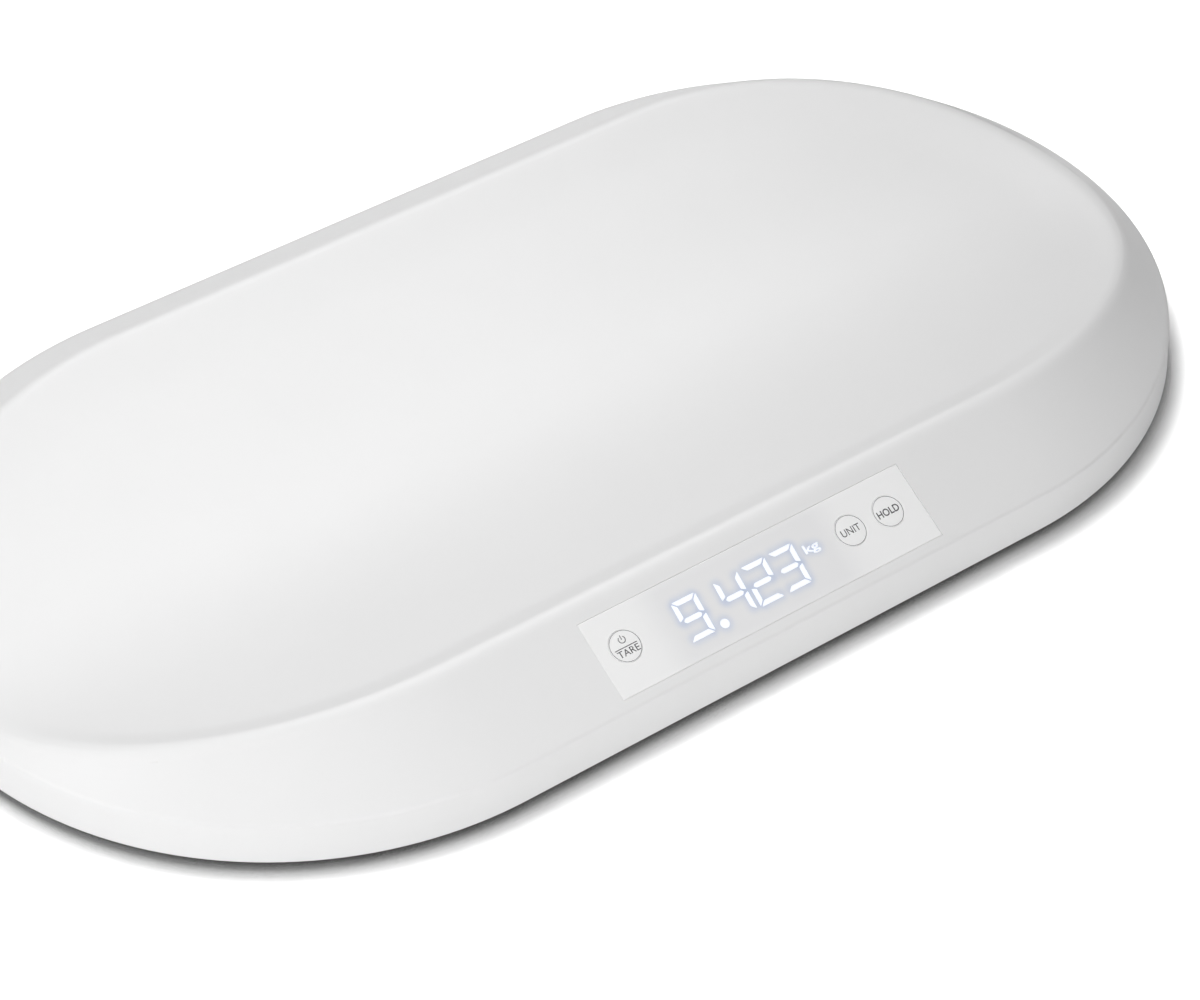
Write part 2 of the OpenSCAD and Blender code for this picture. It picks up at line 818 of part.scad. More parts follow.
module battery_springs() color(STEEL)
    for (i = [0:battery_count - 1])
        translate([0, battery_y(i), battery_z])
            rotate([0, 90 * battery_way(i), 0])
                translate([0, 0, -bay_half_length])
                    cylinder(r1 = battery_diameter / 2 - 1.2, r2 = nub_r,
                        h = 2 * bay_half_length - plate_thickness - battery_length);

module battery_plates() color(STEEL)
    for (i = [0:battery_count - 1])
        translate([0, battery_y(i), battery_z])
            rotate([0, 90 * battery_way(i), 0])
                translate([0, 0, bay_half_length - plate_thickness / 2])
                    cube([battery_diameter - 2, battery_diameter - 2, plate_thickness],
                        center = true);

// ---------------------------------------------------------------- load cells and feet

// A square steel plate whose middle tongue is cut free on three sides, with a spacer at each
// corner that sets it off the housing's roof
module load_cell(i) color(STEEL)
    at_corner(i)
        difference() {
            union() {
                box(cell_side, cell_side, post_top, post_top + cell_thickness);
                for (sx = [-1, 1], sy = [-1, 1])
                    translate([sx * cell_hole_spot, sy * cell_hole_spot, 0])
                        rod(3, post_top + cell_thickness - tiny, cell_roof);
            }
            for (side = [-1, 1])
                translate([side * (tongue_side + cell_slot) / 2, 1, 0])
                    box(cell_slot, tongue_side + 6, post_top - 1, cell_roof);
            translate([0, (tongue_side + 6) / 2 + 1 - cell_slot / 2, 0])
                box(tongue_side, cell_slot, post_top - 1, cell_roof);
            for (sx = [-1, 1], sy = [-1, 1])
                translate([sx * cell_hole_spot, sy * cell_hole_spot, 0])
                    rod(small_screw_r + 0.2, post_top - 1, cell_roof + 1);
        }

module load_cell_screws() color(STEEL)
    at_corners()
        for (sx = [-1, 1], sy = [-1, 1])
            translate([sx * cell_hole_spot, sy * cell_hole_spot, 0])
                small_screw(post_top, housing_top - post_top);

module foot_cup(i) color(COVER_WHITE)
    at_corner(i)
        difference() {
            union() {
                rod(foot_diameter / 2, cup_bottom, cup_top);
                rod(foot_post_r, cup_top - tiny, post_top);
            }
            rod(pad_diameter / 2, cup_bottom - 1, cup_bottom + pad_recess);
        }

module foot_pad(i) color(RUBBER_GREY)
    at_corner(i)
        rod(pad_diameter / 2, 0, pad_thickness);

// ---------------------------------------------------------------- wires

wire_r = 1;
wire_z = cover_top + wire_r + 0.1;

// Points moved along a direction until they meet the plane through p with normal m
function slide_to(ring, d, p, m) = [for (q = ring) q + d * (((p - q) * m) / (d * m))];
function unit(v) = v / norm(v);

// The rings of a mitred tube, one at each point of its path
function tube_rings(path, ring, i) =
    i == len(path) - 1 ? [ring] :
    let (d = unit(path[i + 1] - path[i]),
         m = i + 2 < len(path) ? unit(path[i + 2] - path[i + 1]) + d : d)
    concat([ring], tube_rings(path, slide_to(ring, d, path[i + 1], m), i + 1));

module tube(path, r) {
    sides = 8;
    d = unit(path[1] - path[0]);
    side = unit(cross(d, abs(d.z) > 0.5 ? [1, 0, 0] : [0, 0, 1]));
    up = cross(side, d);
    first = [for (k = [0:sides - 1]) let (a = 360 * k / sides)
        path[0] + r * cos(a) * side + r * sin(a) * up];
    rings = tube_rings(path, first, 0);
    last = (len(path) - 1) * sides;
    walls = [for (i = [0:len(path) - 2], k = [0:sides - 1])
        let (a = i * sides + k, b = i * sides + (k + 1) % sides)
        each [[a, b, b + sides], [a, b + sides, a + sides]]];
    polyhedron([for (ring = rings) each ring],
        concat([[for (k = [sides - 1:-1:0]) k]], [[for (k = [0:sides - 1]) last + k]], walls));
}

housing_r = well_r + housing_wall;

// Where a wire at y meets the inner side of a load cell's housing
function housing_edge(y) = let (off = max(0, abs(foot_y - y) - wire_r))
    foot_x - sqrt(pow(housing_r, 2) - pow(off, 2));

// From a load cell's housing over the cover and up into its socket on the main board
function wire_path(i) = let (
        sx = corner_signs[i][0],
        front = corner_signs[i][1] < 0,
        end = wire_socket(i),
        rise_x = sx * (board_left + 4),
        end_x = sx * board_left,
        plug_z = board_parts_z + socket_height / 2)
    front
    ? [[sx * housing_edge(front_wire_y), -front_wire_y, wire_z], [rise_x, -front_wire_y, wire_z],
       [rise_x, -front_wire_y, plug_z], [end_x, -front_wire_y, plug_z]]
    : [[sx * housing_edge(rear_wire_y), rear_wire_y, wire_z], [sx * rear_wire_x, rear_wire_y, wire_z],
       [sx * rear_wire_x, end.y, wire_z], [rise_x, end.y, wire_z],
       [rise_x, end.y, plug_z], [end_x, end.y, plug_z]];

module wire(i) color(DARK)
    tube(wire_path(i), wire_r);

module battery_wires() color("#b03030")
    for (side = [-1, 1])
        let (x = battery_socket.x + side * 1.6, plug_z = board_parts_z + socket_height / 2)
        tube([[x, bay_front - bay_wall, wire_z], [x, -board_rear + 4, wire_z],
              [x, -board_rear + 4, plug_z], [x, -board_rear, plug_z]], wire_r);

// ---------------------------------------------------------------- drawing

top_shell();
display_panel();
panel_tape();
for (i = [0:len(key_names) - 1]) {
    key(i);
    plunger(i);
    key_switch(i);
}
led_module();
led_segments();
display_board();
display_screws();
ribbon_cable();
ribbon_sockets();
main_board();
main_board_chips();
wire_sockets();
main_board_screws();
bottom_cover();
cover_screws();
battery_door();
for (i = [0:battery_count - 1])
    battery_cell(i);
battery_springs();
battery_plates();
battery_wires();
load_cell_screws();
for (i = [0:3]) {
    load_cell(i);
    foot_cup(i);
    foot_pad(i);
    wire(i);
}
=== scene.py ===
"""A digital baby weighing scale: moulded trough-shaped tray, milky readout panel, three keys.

Metres, +Z up, front towards -Y, origin on the table under the middle of the body.
"""

import math

import bpy
import numpy as np
from mathutils import Matrix, Vector


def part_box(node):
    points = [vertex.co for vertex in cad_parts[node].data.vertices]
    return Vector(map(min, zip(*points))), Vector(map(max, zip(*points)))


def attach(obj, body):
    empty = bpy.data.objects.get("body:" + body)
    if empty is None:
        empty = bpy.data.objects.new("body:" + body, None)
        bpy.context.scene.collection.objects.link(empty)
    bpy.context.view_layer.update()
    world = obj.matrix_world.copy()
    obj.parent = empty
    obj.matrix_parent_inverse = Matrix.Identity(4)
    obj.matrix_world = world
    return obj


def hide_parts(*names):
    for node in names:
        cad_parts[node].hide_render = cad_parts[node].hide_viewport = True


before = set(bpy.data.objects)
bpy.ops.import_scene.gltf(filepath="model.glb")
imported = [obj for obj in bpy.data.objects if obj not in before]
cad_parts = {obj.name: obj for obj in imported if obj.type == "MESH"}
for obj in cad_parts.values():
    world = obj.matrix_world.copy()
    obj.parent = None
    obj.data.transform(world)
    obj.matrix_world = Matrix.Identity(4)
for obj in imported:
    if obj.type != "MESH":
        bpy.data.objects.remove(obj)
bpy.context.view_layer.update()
MM = 0.001

# ---- sizes, in millimetres


def box_mm(node):
    """Both corners of a node's box, in millimetres."""
    return [np.array(corner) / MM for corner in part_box(node)]


shell_low, shell_high = box_mm("top_shell")
BODY_LENGTH, BODY_WIDTH, _ = shell_high - shell_low
RIM_HEIGHT = shell_low[2]
SKIRT_TOP = 22.0
SKIRT_LEAN = 1.0
SKIRT_WALL = 3.0
SHELL_WALL = 3.4
FLANK_FRONT = 41.0
FLANK_REAR = 35.2
FLANK_END = 6.5
CREST_OVERRUN = 5.8
TRAY_FLOOR = 22.0
TRAY_RISE = 19.8
TRAY_BOTTOM_ROUND = 60.0
LIP_HEIGHT = 1.2
LIP_WIDTH = 12.0
LIP_SPREAD = 30.0
LIP_STEP = (0.15, 1.2)
TRAY_EDGE = LIP_WIDTH + 2
CREST_BLEND = 3.2
CREST_STEP = 0.5

PANEL_LENGTH = 148.5
PANEL_HEIGHT = 32.3
PANEL_THICKNESS = 1.6
PANEL_INSET = 19.3
PANEL_SEAM = 0.12
POCKET_DEPTH = 1.8
LEDGE_WIDTH = 3.2

KEY_DIAMETER = 12.7
KEY_GAP = 0.15
KEY_ROW = 1.3
KEY_SPOTS = {"tare": -62.25, "unit": 42.05, "hold": 60.1}

END_RADIUS = BODY_WIDTH / 2
HALF_STRAIGHT = BODY_LENGTH / 2 - END_RADIUS
CREST_FRONT = END_RADIUS - FLANK_FRONT
CREST_REAR = END_RADIUS - FLANK_REAR
CREST_STRAIGHT = HALF_STRAIGHT + CREST_OVERRUN
CREST_END = BODY_LENGTH / 2 - FLANK_END - CREST_STRAIGHT


def trough(y):
    """The trough's rise: a hyperbola, flat at y = 0 and straight towards the sides."""
    return np.sqrt(1 + (y / TRAY_BOTTOM_ROUND) ** 2) - 1


def tray_height(y):
    """Height of the tray's surface at y."""
    return TRAY_FLOOR + TRAY_RISE * trough(y) / trough(CREST_FRONT)


FLANK_CLIMB = (tray_height(CREST_FRONT) + LIP_HEIGHT - SKIRT_TOP) / (FLANK_FRONT - SKIRT_LEAN)
FLANK_SLOPE = math.atan(FLANK_CLIMB)
REAR_CLIMB = (tray_height(CREST_REAR) + LIP_HEIGHT - SKIRT_TOP) / (FLANK_REAR - SKIRT_LEAN)
PANEL_Y = -(END_RADIUS - PANEL_INSET)
PANEL_Z = SKIRT_TOP + (PANEL_INSET - SKIRT_LEAN) * FLANK_CLIMB
PANEL_PLACE = (Matrix.Translation(Vector((0, PANEL_Y, PANEL_Z)))
               @ Matrix.Rotation(FLANK_SLOPE, 4, "X"))


def on_panel(points):
    """Points given along the panel, up it and out of it, turned to their place on the flank."""
    turn = np.array(PANEL_PLACE)
    return points @ turn[:3, :3].T + turn[:3, 3]


def shape_on_panel(shape):
    """Points and faces given along the panel, turned to their place on the flank."""
    return on_panel(shape[0]), shape[1]


# ---- making meshes


def put_in_scene(name, data):
    """A new object of some data, linked to the scene."""
    thing = bpy.data.objects.new(name, data)
    bpy.context.scene.collection.objects.link(thing)
    return thing


def make_piece(name, shape, material, node=None, body="scale_body", sharp_angle=35):
    """A mesh object of points in millimetres and faces, riding on a body, with one material.

    It takes the place of node, where one is given. Where sharp_angle is 0 its faces are flat.
    """
    points, faces = shape
    mesh = bpy.data.meshes.new(name)
    mesh.from_pydata((np.asarray(points) * MM).tolist(), [], [list(map(int, f)) for f in faces])
    mesh.validate()
    mesh.polygons.foreach_set("use_smooth", [sharp_angle > 0] * len(mesh.polygons))
    if sharp_angle:
        mesh.set_sharp_from_angle(angle=math.radians(sharp_angle))
    mesh.materials.append(material)
    piece = put_in_scene(name, mesh)
    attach(piece, body)
    if node:
        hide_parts(node)
    return piece


def grid_faces(rows, columns, closed_columns=False, closed_rows=False):
    """Quads of a rows x columns grid, counter-clockwise when columns run right and rows run up."""
    r = np.arange(rows if closed_rows else rows - 1)
    c = np.arange(columns if closed_columns else columns - 1)
    r, c = np.meshgrid(r, c, indexing="ij")
    r2 = (r + 1) % rows
    c2 = (c + 1) % columns
    quads = np.stack([r * columns + c, r * columns + c2, r2 * columns + c2, r2 * columns + c], -1)
    return quads.reshape(-1, 4)


def band(a, b):
    """Quads between two closed loops of as many points."""
    return np.stack([a, np.roll(a, -1), np.roll(b, -1), b], -1)


def capped(rings):
    """A tube through rings of as many points, with a face across either end."""
    rows, columns = rings.shape[:2]
    faces = grid_faces(rows, columns, closed_columns=True)[:, ::-1].tolist()
    last = rows * columns - 1
    faces += [list(range(columns)), list(range(last, last - columns, -1))]
    return rings.reshape(-1, 3), faces


def lathe(profile, steps=64):
    """A profile of (radius, height) pairs turned about Z: x = r cos a, y = r sin a, z = h.

    The profile runs from its lowest point on the axis outwards and up to its highest point on
    the axis, so the faces point outwards. Each end on the axis is one point with a fan.
    """
    profile = np.asarray(profile, float)
    inner = profile[1:-1]
    angle = np.arange(steps) * 2 * math.pi / steps
    ring = np.stack([np.cos(angle), np.sin(angle)], -1)
    points = np.concatenate([
        np.concatenate([inner[:, None, :1] * ring[None], np.repeat(inner[:, None, 1:], steps, 1)],
                       -1).reshape(-1, 3),
        [[0, 0, profile[0, 1]], [0, 0, profile[-1, 1]]]])
    faces = grid_faces(len(inner), steps, closed_columns=True).tolist()
    low, high = len(points) - 2, len(points) - 1
    last = (len(inner) - 1) * steps
    faces += [[low, (i + 1) % steps, i] for i in range(steps)]
    faces += [[high, last + i, last + (i + 1) % steps] for i in range(steps)]
    return points, faces


def joined(shapes):
    """One mesh of several shapes, each its points and faces."""
    points, faces, first = [], [], 0
    for shape_points, shape_faces in shapes:
        points.append(shape_points)
        faces += [[i + first for i in face] for face in shape_faces]
        first += len(shape_points)
    return np.concatenate(points), faces


def repeated(shape, places):
    """One mesh of a shape moved to several places."""
    points, faces = shape
    return joined([(points + place, faces) for place in places])


def round_corner(before, corner, after, radius, steps=5):
    """Points of a quadratic curve that cuts a profile's corner at a distance radius from it."""
    before, corner, after = (np.asarray(p, float) for p in (before, corner, after))
    start = corner + (before - corner) / np.linalg.norm(before - corner) * radius
    end = corner + (after - corner) / np.linalg.norm(after - corner) * radius
    t = np.linspace(0, 1, steps)[:, None]
    return ((1 - t) ** 2 * start + 2 * t * (1 - t) * corner + t ** 2 * end).tolist()


# ---- materials


def linear(hex_colour):
    """An sRGB hex colour as linear RGBA."""
    s = np.array([int(hex_colour[i:i + 2], 16) for i in (1, 3, 5)]) / 255
    rgb = np.where(s <= 0.04045, s / 12.92, ((s + 0.055) / 1.055) ** 2.4)
    return (*rgb.tolist(), 1.0)


def add_node(tree, kind, settings=None, **links):
    """One node with its plain settings and its inputs: a socket to link from, or a value."""
    node = tree.nodes.new("ShaderNode" + kind)
    for key, value in (settings or {}).items():
        setattr(node, key, value)
    for key, value in links.items():
        socket = node.inputs[int(key[1:])] if key[0] == "_" else node.inputs[key.replace("_", " ")]
        if isinstance(value, bpy.types.NodeSocket):
            tree.links.new(value, socket)
        else:
            socket.default_value = value
    return node


def mixed(tree, factor, colour_a, colour_b):
    """The colour between two, as far along as the factor says."""
    return add_node(tree, "Mix", {"data_type": "RGBA"}, Factor=factor, _6=colour_a,
                    _7=colour_b).outputs[2]


def new_material(name, colour, roughness, **sockets):
    """A principled material with its plain numbers set on the shader's own sockets."""
    material = bpy.data.materials.new(name)
    material.use_nodes = True
    shader = material.node_tree.nodes["Principled BSDF"]
    values = {"Base_Color": linear(colour), "Roughness": roughness, "IOR": 1.5, "Metallic": 0.0}
    for key, value in {**values, **sockets}.items():
        shader.inputs[key.replace("_", " ")].default_value = value
    return material, material.node_tree, shader


def object_noise(tree, grain_mm, detail):
    """Noise over the piece's own place, with grains grain_mm wide."""
    place = add_node(tree, "TexCoord")
    return add_node(tree, "TexNoise", Vector=place.outputs["Object"],
                    Scale=1 / (grain_mm * MM), Detail=detail).outputs["Fac"]


def fine_texture(tree, shader, grain_mm, height_mm):
    """A bump of noise with grains grain_mm wide, as a tool's etched surface leaves."""
    bump = add_node(tree, "Bump", Height=object_noise(tree, grain_mm, 2.0), Strength=1.0,
                    Distance=height_mm * MM)
    tree.links.new(bump.outputs["Normal"], shader.inputs["Normal"])


def plastic(name, colour_a, colour_b, roughness, grain_mm, height_mm, ior=1.53):
    """Moulded plastic: a colour that hardly drifts and the fine grain of its moulding tool."""
    material, tree, shader = new_material(name, colour_a, roughness, IOR=ior)
    fine_texture(tree, shader, grain_mm, height_mm)
    drift = object_noise(tree, DRIFT_PATCH, 3.0)
    tree.links.new(mixed(tree, drift, linear(colour_a), linear(colour_b)),
                   shader.inputs["Base Color"])
    return material


DRIFT_PATCH = 40
# ABS, satin from a fine-blasted tool: an even white with a broad soft sheen and no mirror glints
shell_abs = plastic("satin_white_abs", "#f3f3f3", "#f6f6f6", 0.42, 0.5, 0.004)
# ABS from a coarser spark-eroded tool: duller, with grain that shows close up
cover_abs = plastic("eroded_white_abs", "#e4e4e4", "#e9e9e9", 0.6, 0.9, 0.03)
# Silicone rubber, matt from its mould, with the faint drift of a dusted surface
foot_rubber = plastic("matt_silicone_rubber", "#a3a3a1", "#adadab", 0.8, 0.6, 0.03, ior=1.41)
# Bright zinc-plated steel: fine cloudy roughness
zinc_steel = new_material("zinc_plated_steel", "#b9bcc0", 0.32, Metallic=1.0)[0]
# Nickel-plated spring wire: bright and smooth
spring_nickel = new_material("nickel_spring_wire", "#c9c6bf", 0.22, Metallic=1.0)[0]
# Shrunk PVC sleeve of a dry cell: smooth and faintly glossy
cell_sleeve = plastic("shrunk_pvc_sleeve", "#5f6f80", "#667687", 0.3, 3.0, 0.02, ior=1.54)
# Glass-fibre board under green solder mask: thin glossy lacquer
board_mask = plastic("solder_masked_board", "#2b6443", "#336f4b", 0.3, 0.8, 0.01)
# Black epoxy and black ABS of chips, switches and the readout's block
black_epoxy = plastic("black_moulded_epoxy", "#232326", "#2a2a2d", 0.5, 0.5, 0.01)
# Nylon plug housings: off-white and waxy
nylon = plastic("natural_nylon", "#e2ded2", "#e8e4d8", 0.45, 0.6, 0.01)
# PVC insulation: smooth, soft sheen
grey_pvc = plastic("grey_pvc_insulation", "#8b8b8d", "#939395", 0.4, 1.5, 0.01)
red_pvc = plastic("red_pvc_insulation", "#a52c2c", "#b03232", 0.4, 1.5, 0.01)
# Closed-cell PE foam tape: dull dark grey with open pores
foam_tape = plastic("pe_foam_tape", "#3a3a3c", "#454547", 0.9, 0.4, 0.05)
# Screen-printed ink: flat dark grey, a little duller than what carries it
print_ink = new_material("screen_printed_ink", "#555557", 0.55)[0]
ring_ink = new_material("pale_screen_printed_ink", "#828285", 0.55)[0]


def milky_acrylic():
    """Opal acrylic lit from behind: white with a faint painted glow all over, a cooler, greyer
    painted halo close to the lit strokes and painted shade over the readout block.
    """
    material, tree, shader = new_material("opal_acrylic", "#f4f4f4", 0.28, IOR=1.49,
                                          Emission_Color=(1, 1, 1, 1), Emission_Strength=0.06)
    fine_texture(tree, shader, 0.6, 0.001)
    glow, painted_block_shade = (add_node(tree, "Attribute", {"attribute_name": name}).outputs["Fac"]
                  for name in ("glow", "painted_block_shade"))
    # the base colour carries the painted shade of the readout block behind, then the painted halo
    # of the lit strokes
    shade = mixed(tree, painted_block_shade, linear("#f8f8f8"), linear("#ededee"))
    tree.links.new(mixed(tree, glow, shade, linear("#bccae6")), shader.inputs["Base Color"])
    return material


opal_acrylic = milky_acrylic()
# Key caps of the same opal acrylic, without the light behind, yet with a faint painted glow
cap_acrylic = new_material("opal_acrylic_caps", "#fafafa", 0.28, IOR=1.49,
                           Emission_Color=(1, 1, 1, 1), Emission_Strength=0.05)[0]
# White LED light under the acrylic: almost white, with a breath of blue
led_light = new_material("white_led_light", "#f2f6ff", 0.4, IOR=1.49,
                         Emission_Color=linear("#f4f8ff"), Emission_Strength=0.35)[0]

# ---- moulded top

PANEL_BLOCK = PANEL_LENGTH / 2 + PANEL_SEAM
STRAIGHT_PART = 100.0
WINDOW_HALF = (PANEL_LENGTH / 2 - LEDGE_WIDTH, PANEL_HEIGHT / 2 - LEDGE_WIDTH)
POCKET_HALF = (PANEL_BLOCK, PANEL_HEIGHT / 2 + PANEL_SEAM)

straight = np.concatenate([np.linspace(PANEL_BLOCK, STRAIGHT_PART, 7)[1:],
                           np.linspace(STRAIGHT_PART, HALF_STRAIGHT, 5)[1:]])
straight = np.concatenate([-straight[::-1], np.linspace(-PANEL_BLOCK, PANEL_BLOCK, 37), straight])
turn = np.radians(np.arange(-88, 90, 2))
# Stations counter-clockwise from the front left: where on a straight, which end, cosine, sine
along = np.concatenate([straight, 0 * turn, straight[::-1], 0 * turn])
end_sign = np.concatenate([0 * straight, 1 + 0 * turn, 0 * straight, -1 + 0 * turn])
cosine = np.concatenate([0 * straight, np.cos(turn), 0 * straight, -np.cos(turn)])
sine = np.concatenate([-1 + 0 * straight, np.sin(turn), 1 + 0 * straight, np.sin(turn[::-1])])
STATIONS = len(along)


def plan_ring(half, end, front, rear):
    """A stadium in plan: straights of length 2 half, ends end long, front and rear half widths."""
    stretch = (half - STRAIGHT_PART) / (HALF_STRAIGHT - STRAIGHT_PART)
    size = np.abs(along)
    x = np.sign(along) * (np.minimum(size, STRAIGHT_PART)
                          + np.maximum(size - STRAIGHT_PART, 0) * stretch)
    return np.stack([x + end_sign * half + end * cosine,
                     np.where(sine < 0, front, rear) * sine], -1)


def outline(inset):
    """The body's outline in plan, moved inwards."""
    radius = END_RADIUS - inset
    return plan_ring(HALF_STRAIGHT, radius, radius, radius)


def crest(inset):
    """The tray's crest in plan, moved inwards."""
    return plan_ring(CREST_STRAIGHT, CREST_END - inset, CREST_FRONT - inset, CREST_REAR - inset)


def raised(plan, height):
    """A ring in plan given its height."""
    return np.column_stack([plan, np.broadcast_to(height, STATIONS)])


flank_foot = outline(SKIRT_LEAN)
crest_line = crest(0)
crest_top = tray_height(crest_line[:, 1]) + LIP_HEIGHT
flank_width = np.linalg.norm(crest_line - flank_foot, axis=1)
flank_climb = (crest_top - SKIRT_TOP) / flank_width
frontness = np.clip(-crest_line[:, 1] / CREST_FRONT, 0, 1)
lip_step = LIP_STEP[0] + (LIP_STEP[1] - LIP_STEP[0]) * frontness ** 2 * (3 - 2 * frontness)


def flank_row(share):
    """A ring a share of the way from the skirt's crease straight up to the crest."""
    share = np.broadcast_to(share, STATIONS)
    plan = flank_foot + share[:, None] * (crest_line - flank_foot)
    return raised(plan, SKIRT_TOP + share * (crest_top - SKIRT_TOP))


def soft_minimum(a, b, blend):
    """The lower of two heights, rounded where they differ by less than blend."""
    near = np.maximum(blend - np.abs(a - b), 0) / blend
    return np.minimum(a, b) - near ** 2 * blend / 4


def half_wave(share):
    """Half a cosine wave, from 1 at a share of 0 to nothing at a share of 1."""
    return 0.5 + 0.5 * np.cos(math.pi * np.clip(share, 0, 1))


def lip_rise(plan):
    """The tray's rise towards the crest at a ring, the sum of two half waves.

    The first is lip_step high and LIP_WIDTH wide. It's a clear lip along the front, and fades
    round the ends. The second takes up the rest of LIP_HEIGHT over LIP_SPREAD.
    """
    inside = np.linalg.norm(plan - crest_line, axis=1)
    return (lip_step * half_wave(inside / LIP_WIDTH)
            + (LIP_HEIGHT - lip_step) * half_wave(inside / LIP_SPREAD))


def crest_row(u):
    """A ring u inside the crest: the flank's plane and the tray with its lip, joined softly."""
    plan = crest(u) if u > 0 else flank_row(1 + u / flank_width)[:, :2]
    flank = crest_top + u * flank_climb
    tray = tray_height(plan[:, 1]) + (lip_rise(plan) if u > 0 else LIP_HEIGHT)
    return raised(plan, soft_minimum(flank, tray, CREST_BLEND * flank_climb / FLANK_CLIMB))


def tray_row(share):
    """A ring inside the lip, whose widths shrink by share towards the tray's middle line."""
    plan = plan_ring(CREST_STRAIGHT, *(share * (half - TRAY_EDGE)
                                       for half in (CREST_END, CREST_FRONT, CREST_REAR)))
    return raised(plan, tray_height(plan[:, 1]) + lip_rise(plan))


def bezier_rows(start, corner, end, steps):
    """Rings on a quadratic curve between two rings, bent towards a third, ends left out."""
    return [(1 - t) ** 2 * start + 2 * t * (1 - t) * corner + t ** 2 * end
            for t in np.linspace(0, 1, steps + 1)[1:-1]]


def moulded_top():
    """The top as one closed skin of rings, from the tray's underside round the rim to its top."""
    up = math.cos(FLANK_SLOPE)
    hole_shares = [(PANEL_INSET - SKIRT_LEAN + side * POCKET_HALF[1] * up)
                   / (FLANK_FRONT - SKIRT_LEAN) for side in (-1, 1)]
    flank = [flank_row(s) for s in np.linspace(*hole_shares, 6)]
    crests = [crest_row(u) for u in np.arange(-5, TRAY_EDGE + 0.01, CREST_STEP)]
    shares = np.concatenate([np.linspace(1, 0.06, 30)[1:], [0.03]])
    tray = [tray_row(s) for s in shares]

    inside = [row - [0, 0, SHELL_WALL] for row in
              [flank_row(SKIRT_WALL / flank_width)] + flank + crests[::2] + tray][::-1]
    wall_foot = raised(outline(SKIRT_WALL), RIM_HEIGHT)
    lean = SKIRT_LEAN / (SKIRT_TOP - RIM_HEIGHT - 1)
    rim = [raised(outline(1), RIM_HEIGHT)]
    skirt_foot = raised(outline(0), RIM_HEIGHT + 1)
    rim += bezier_rows(rim[0], raised(outline(0), RIM_HEIGHT), skirt_foot, 5)
    skirt = [raised(outline(h * lean), RIM_HEIGHT + 1 + h) for h in (0, 5, 10, 14.8)]
    crease_end = flank_row(np.minimum(1.2 / flank_width, 0.25))
    crease = bezier_rows(skirt[-1], raised(flank_foot, SKIRT_TOP), crease_end, 5)
    rows = inside + [wall_foot] + rim + skirt + crease + [crease_end] + flank + crests + tray

    points = np.concatenate(rows)
    first_outer = len(inside) + 1 + len(rim) + len(skirt) + len(crease) + 1
    outer_rows = np.arange(first_outer, first_outer + len(flank))
    inner_rows = len(inside) - 2 - np.arange(len(flank))
    left, right = (int(np.argmin(np.abs(straight - x))) for x in (-PANEL_BLOCK, PANEL_BLOCK))

    quads = grid_faces(len(rows), STATIONS, closed_columns=True)
    row = quads.min(axis=1) // STATIONS
    column = quads[:, 0] % STATIONS
    in_hole = (column >= left) & (column < right)
    for hole in (outer_rows, inner_rows):
        quads_out = in_hole & (row >= hole.min()) & (row < hole.max())
        quads, row, column, in_hole = (a[~quads_out] for a in (quads, row, column, in_hole))

    def rim_of_hole(rows_up):
        across = np.arange(left, right + 1)
        return np.concatenate([rows_up[0] * STATIONS + across[:-1],
                               rows_up[:-1] * STATIONS + right,
                               rows_up[-1] * STATIONS + across[:0:-1],
                               rows_up[:0:-1] * STATIONS + left])

    outer_edge, inner_edge = rim_of_hole(outer_rows), rim_of_hole(inner_rows)
    turned = np.array(PANEL_PLACE)
    flat = (points[outer_edge] - turned[:3, 3]) @ turned[:3, :3]
    flat[:, 2] = 0
    window = flat * [WINDOW_HALF[0] / POCKET_HALF[0], WINDOW_HALF[1] / POCKET_HALF[1], 0]
    points[inner_edge] = on_panel(window - [0, 0, SHELL_WALL * up])
    count = len(points)
    loops = [outer_edge, count + np.arange(len(flat)), count + len(flat) + np.arange(len(flat)),
             inner_edge]
    points = np.concatenate([points, on_panel(flat - [0, 0, POCKET_DEPTH]),
                             on_panel(window - [0, 0, POCKET_DEPTH])])
    walls = [band(a, b) for a, b in zip(loops[:-1], loops[1:])]

    # the tray's middle line closes the skin, above and below
    spine_x = plan_ring(CREST_STRAIGHT, 0, 0, 0)[:len(straight), 0]
    n, m = len(straight), len(turn)
    to_spine = np.concatenate([np.arange(n), np.full(m, n - 1), np.arange(n)[::-1], np.zeros(m)])
    to_spine = to_spine.astype(int)
    closing = []
    for ring_row, height, above in ((len(rows) - 1, tray_height(0), True),
                                    (0, tray_height(0) - SHELL_WALL, False)):
        spine = len(points)
        points = np.concatenate([points, np.column_stack(
            [spine_x, 0 * spine_x, height + 0 * spine_x])])
        face = band(ring_row * STATIONS + np.arange(STATIONS), spine + to_spine)
        closing.append(face if above else face[:, ::-1])
    faces = [list(dict.fromkeys(f)) for f in np.concatenate([quads] + walls + closing).tolist()]

    used = np.unique(np.concatenate([np.array(f) for f in faces]))
    renumber = np.full(len(points), -1)
    renumber[used] = np.arange(len(used))
    return points[used], [[int(renumber[i]) for i in f] for f in faces]


make_piece("moulded_top", moulded_top(), shell_abs, "top_shell", sharp_angle=40)

# ---- readout panel

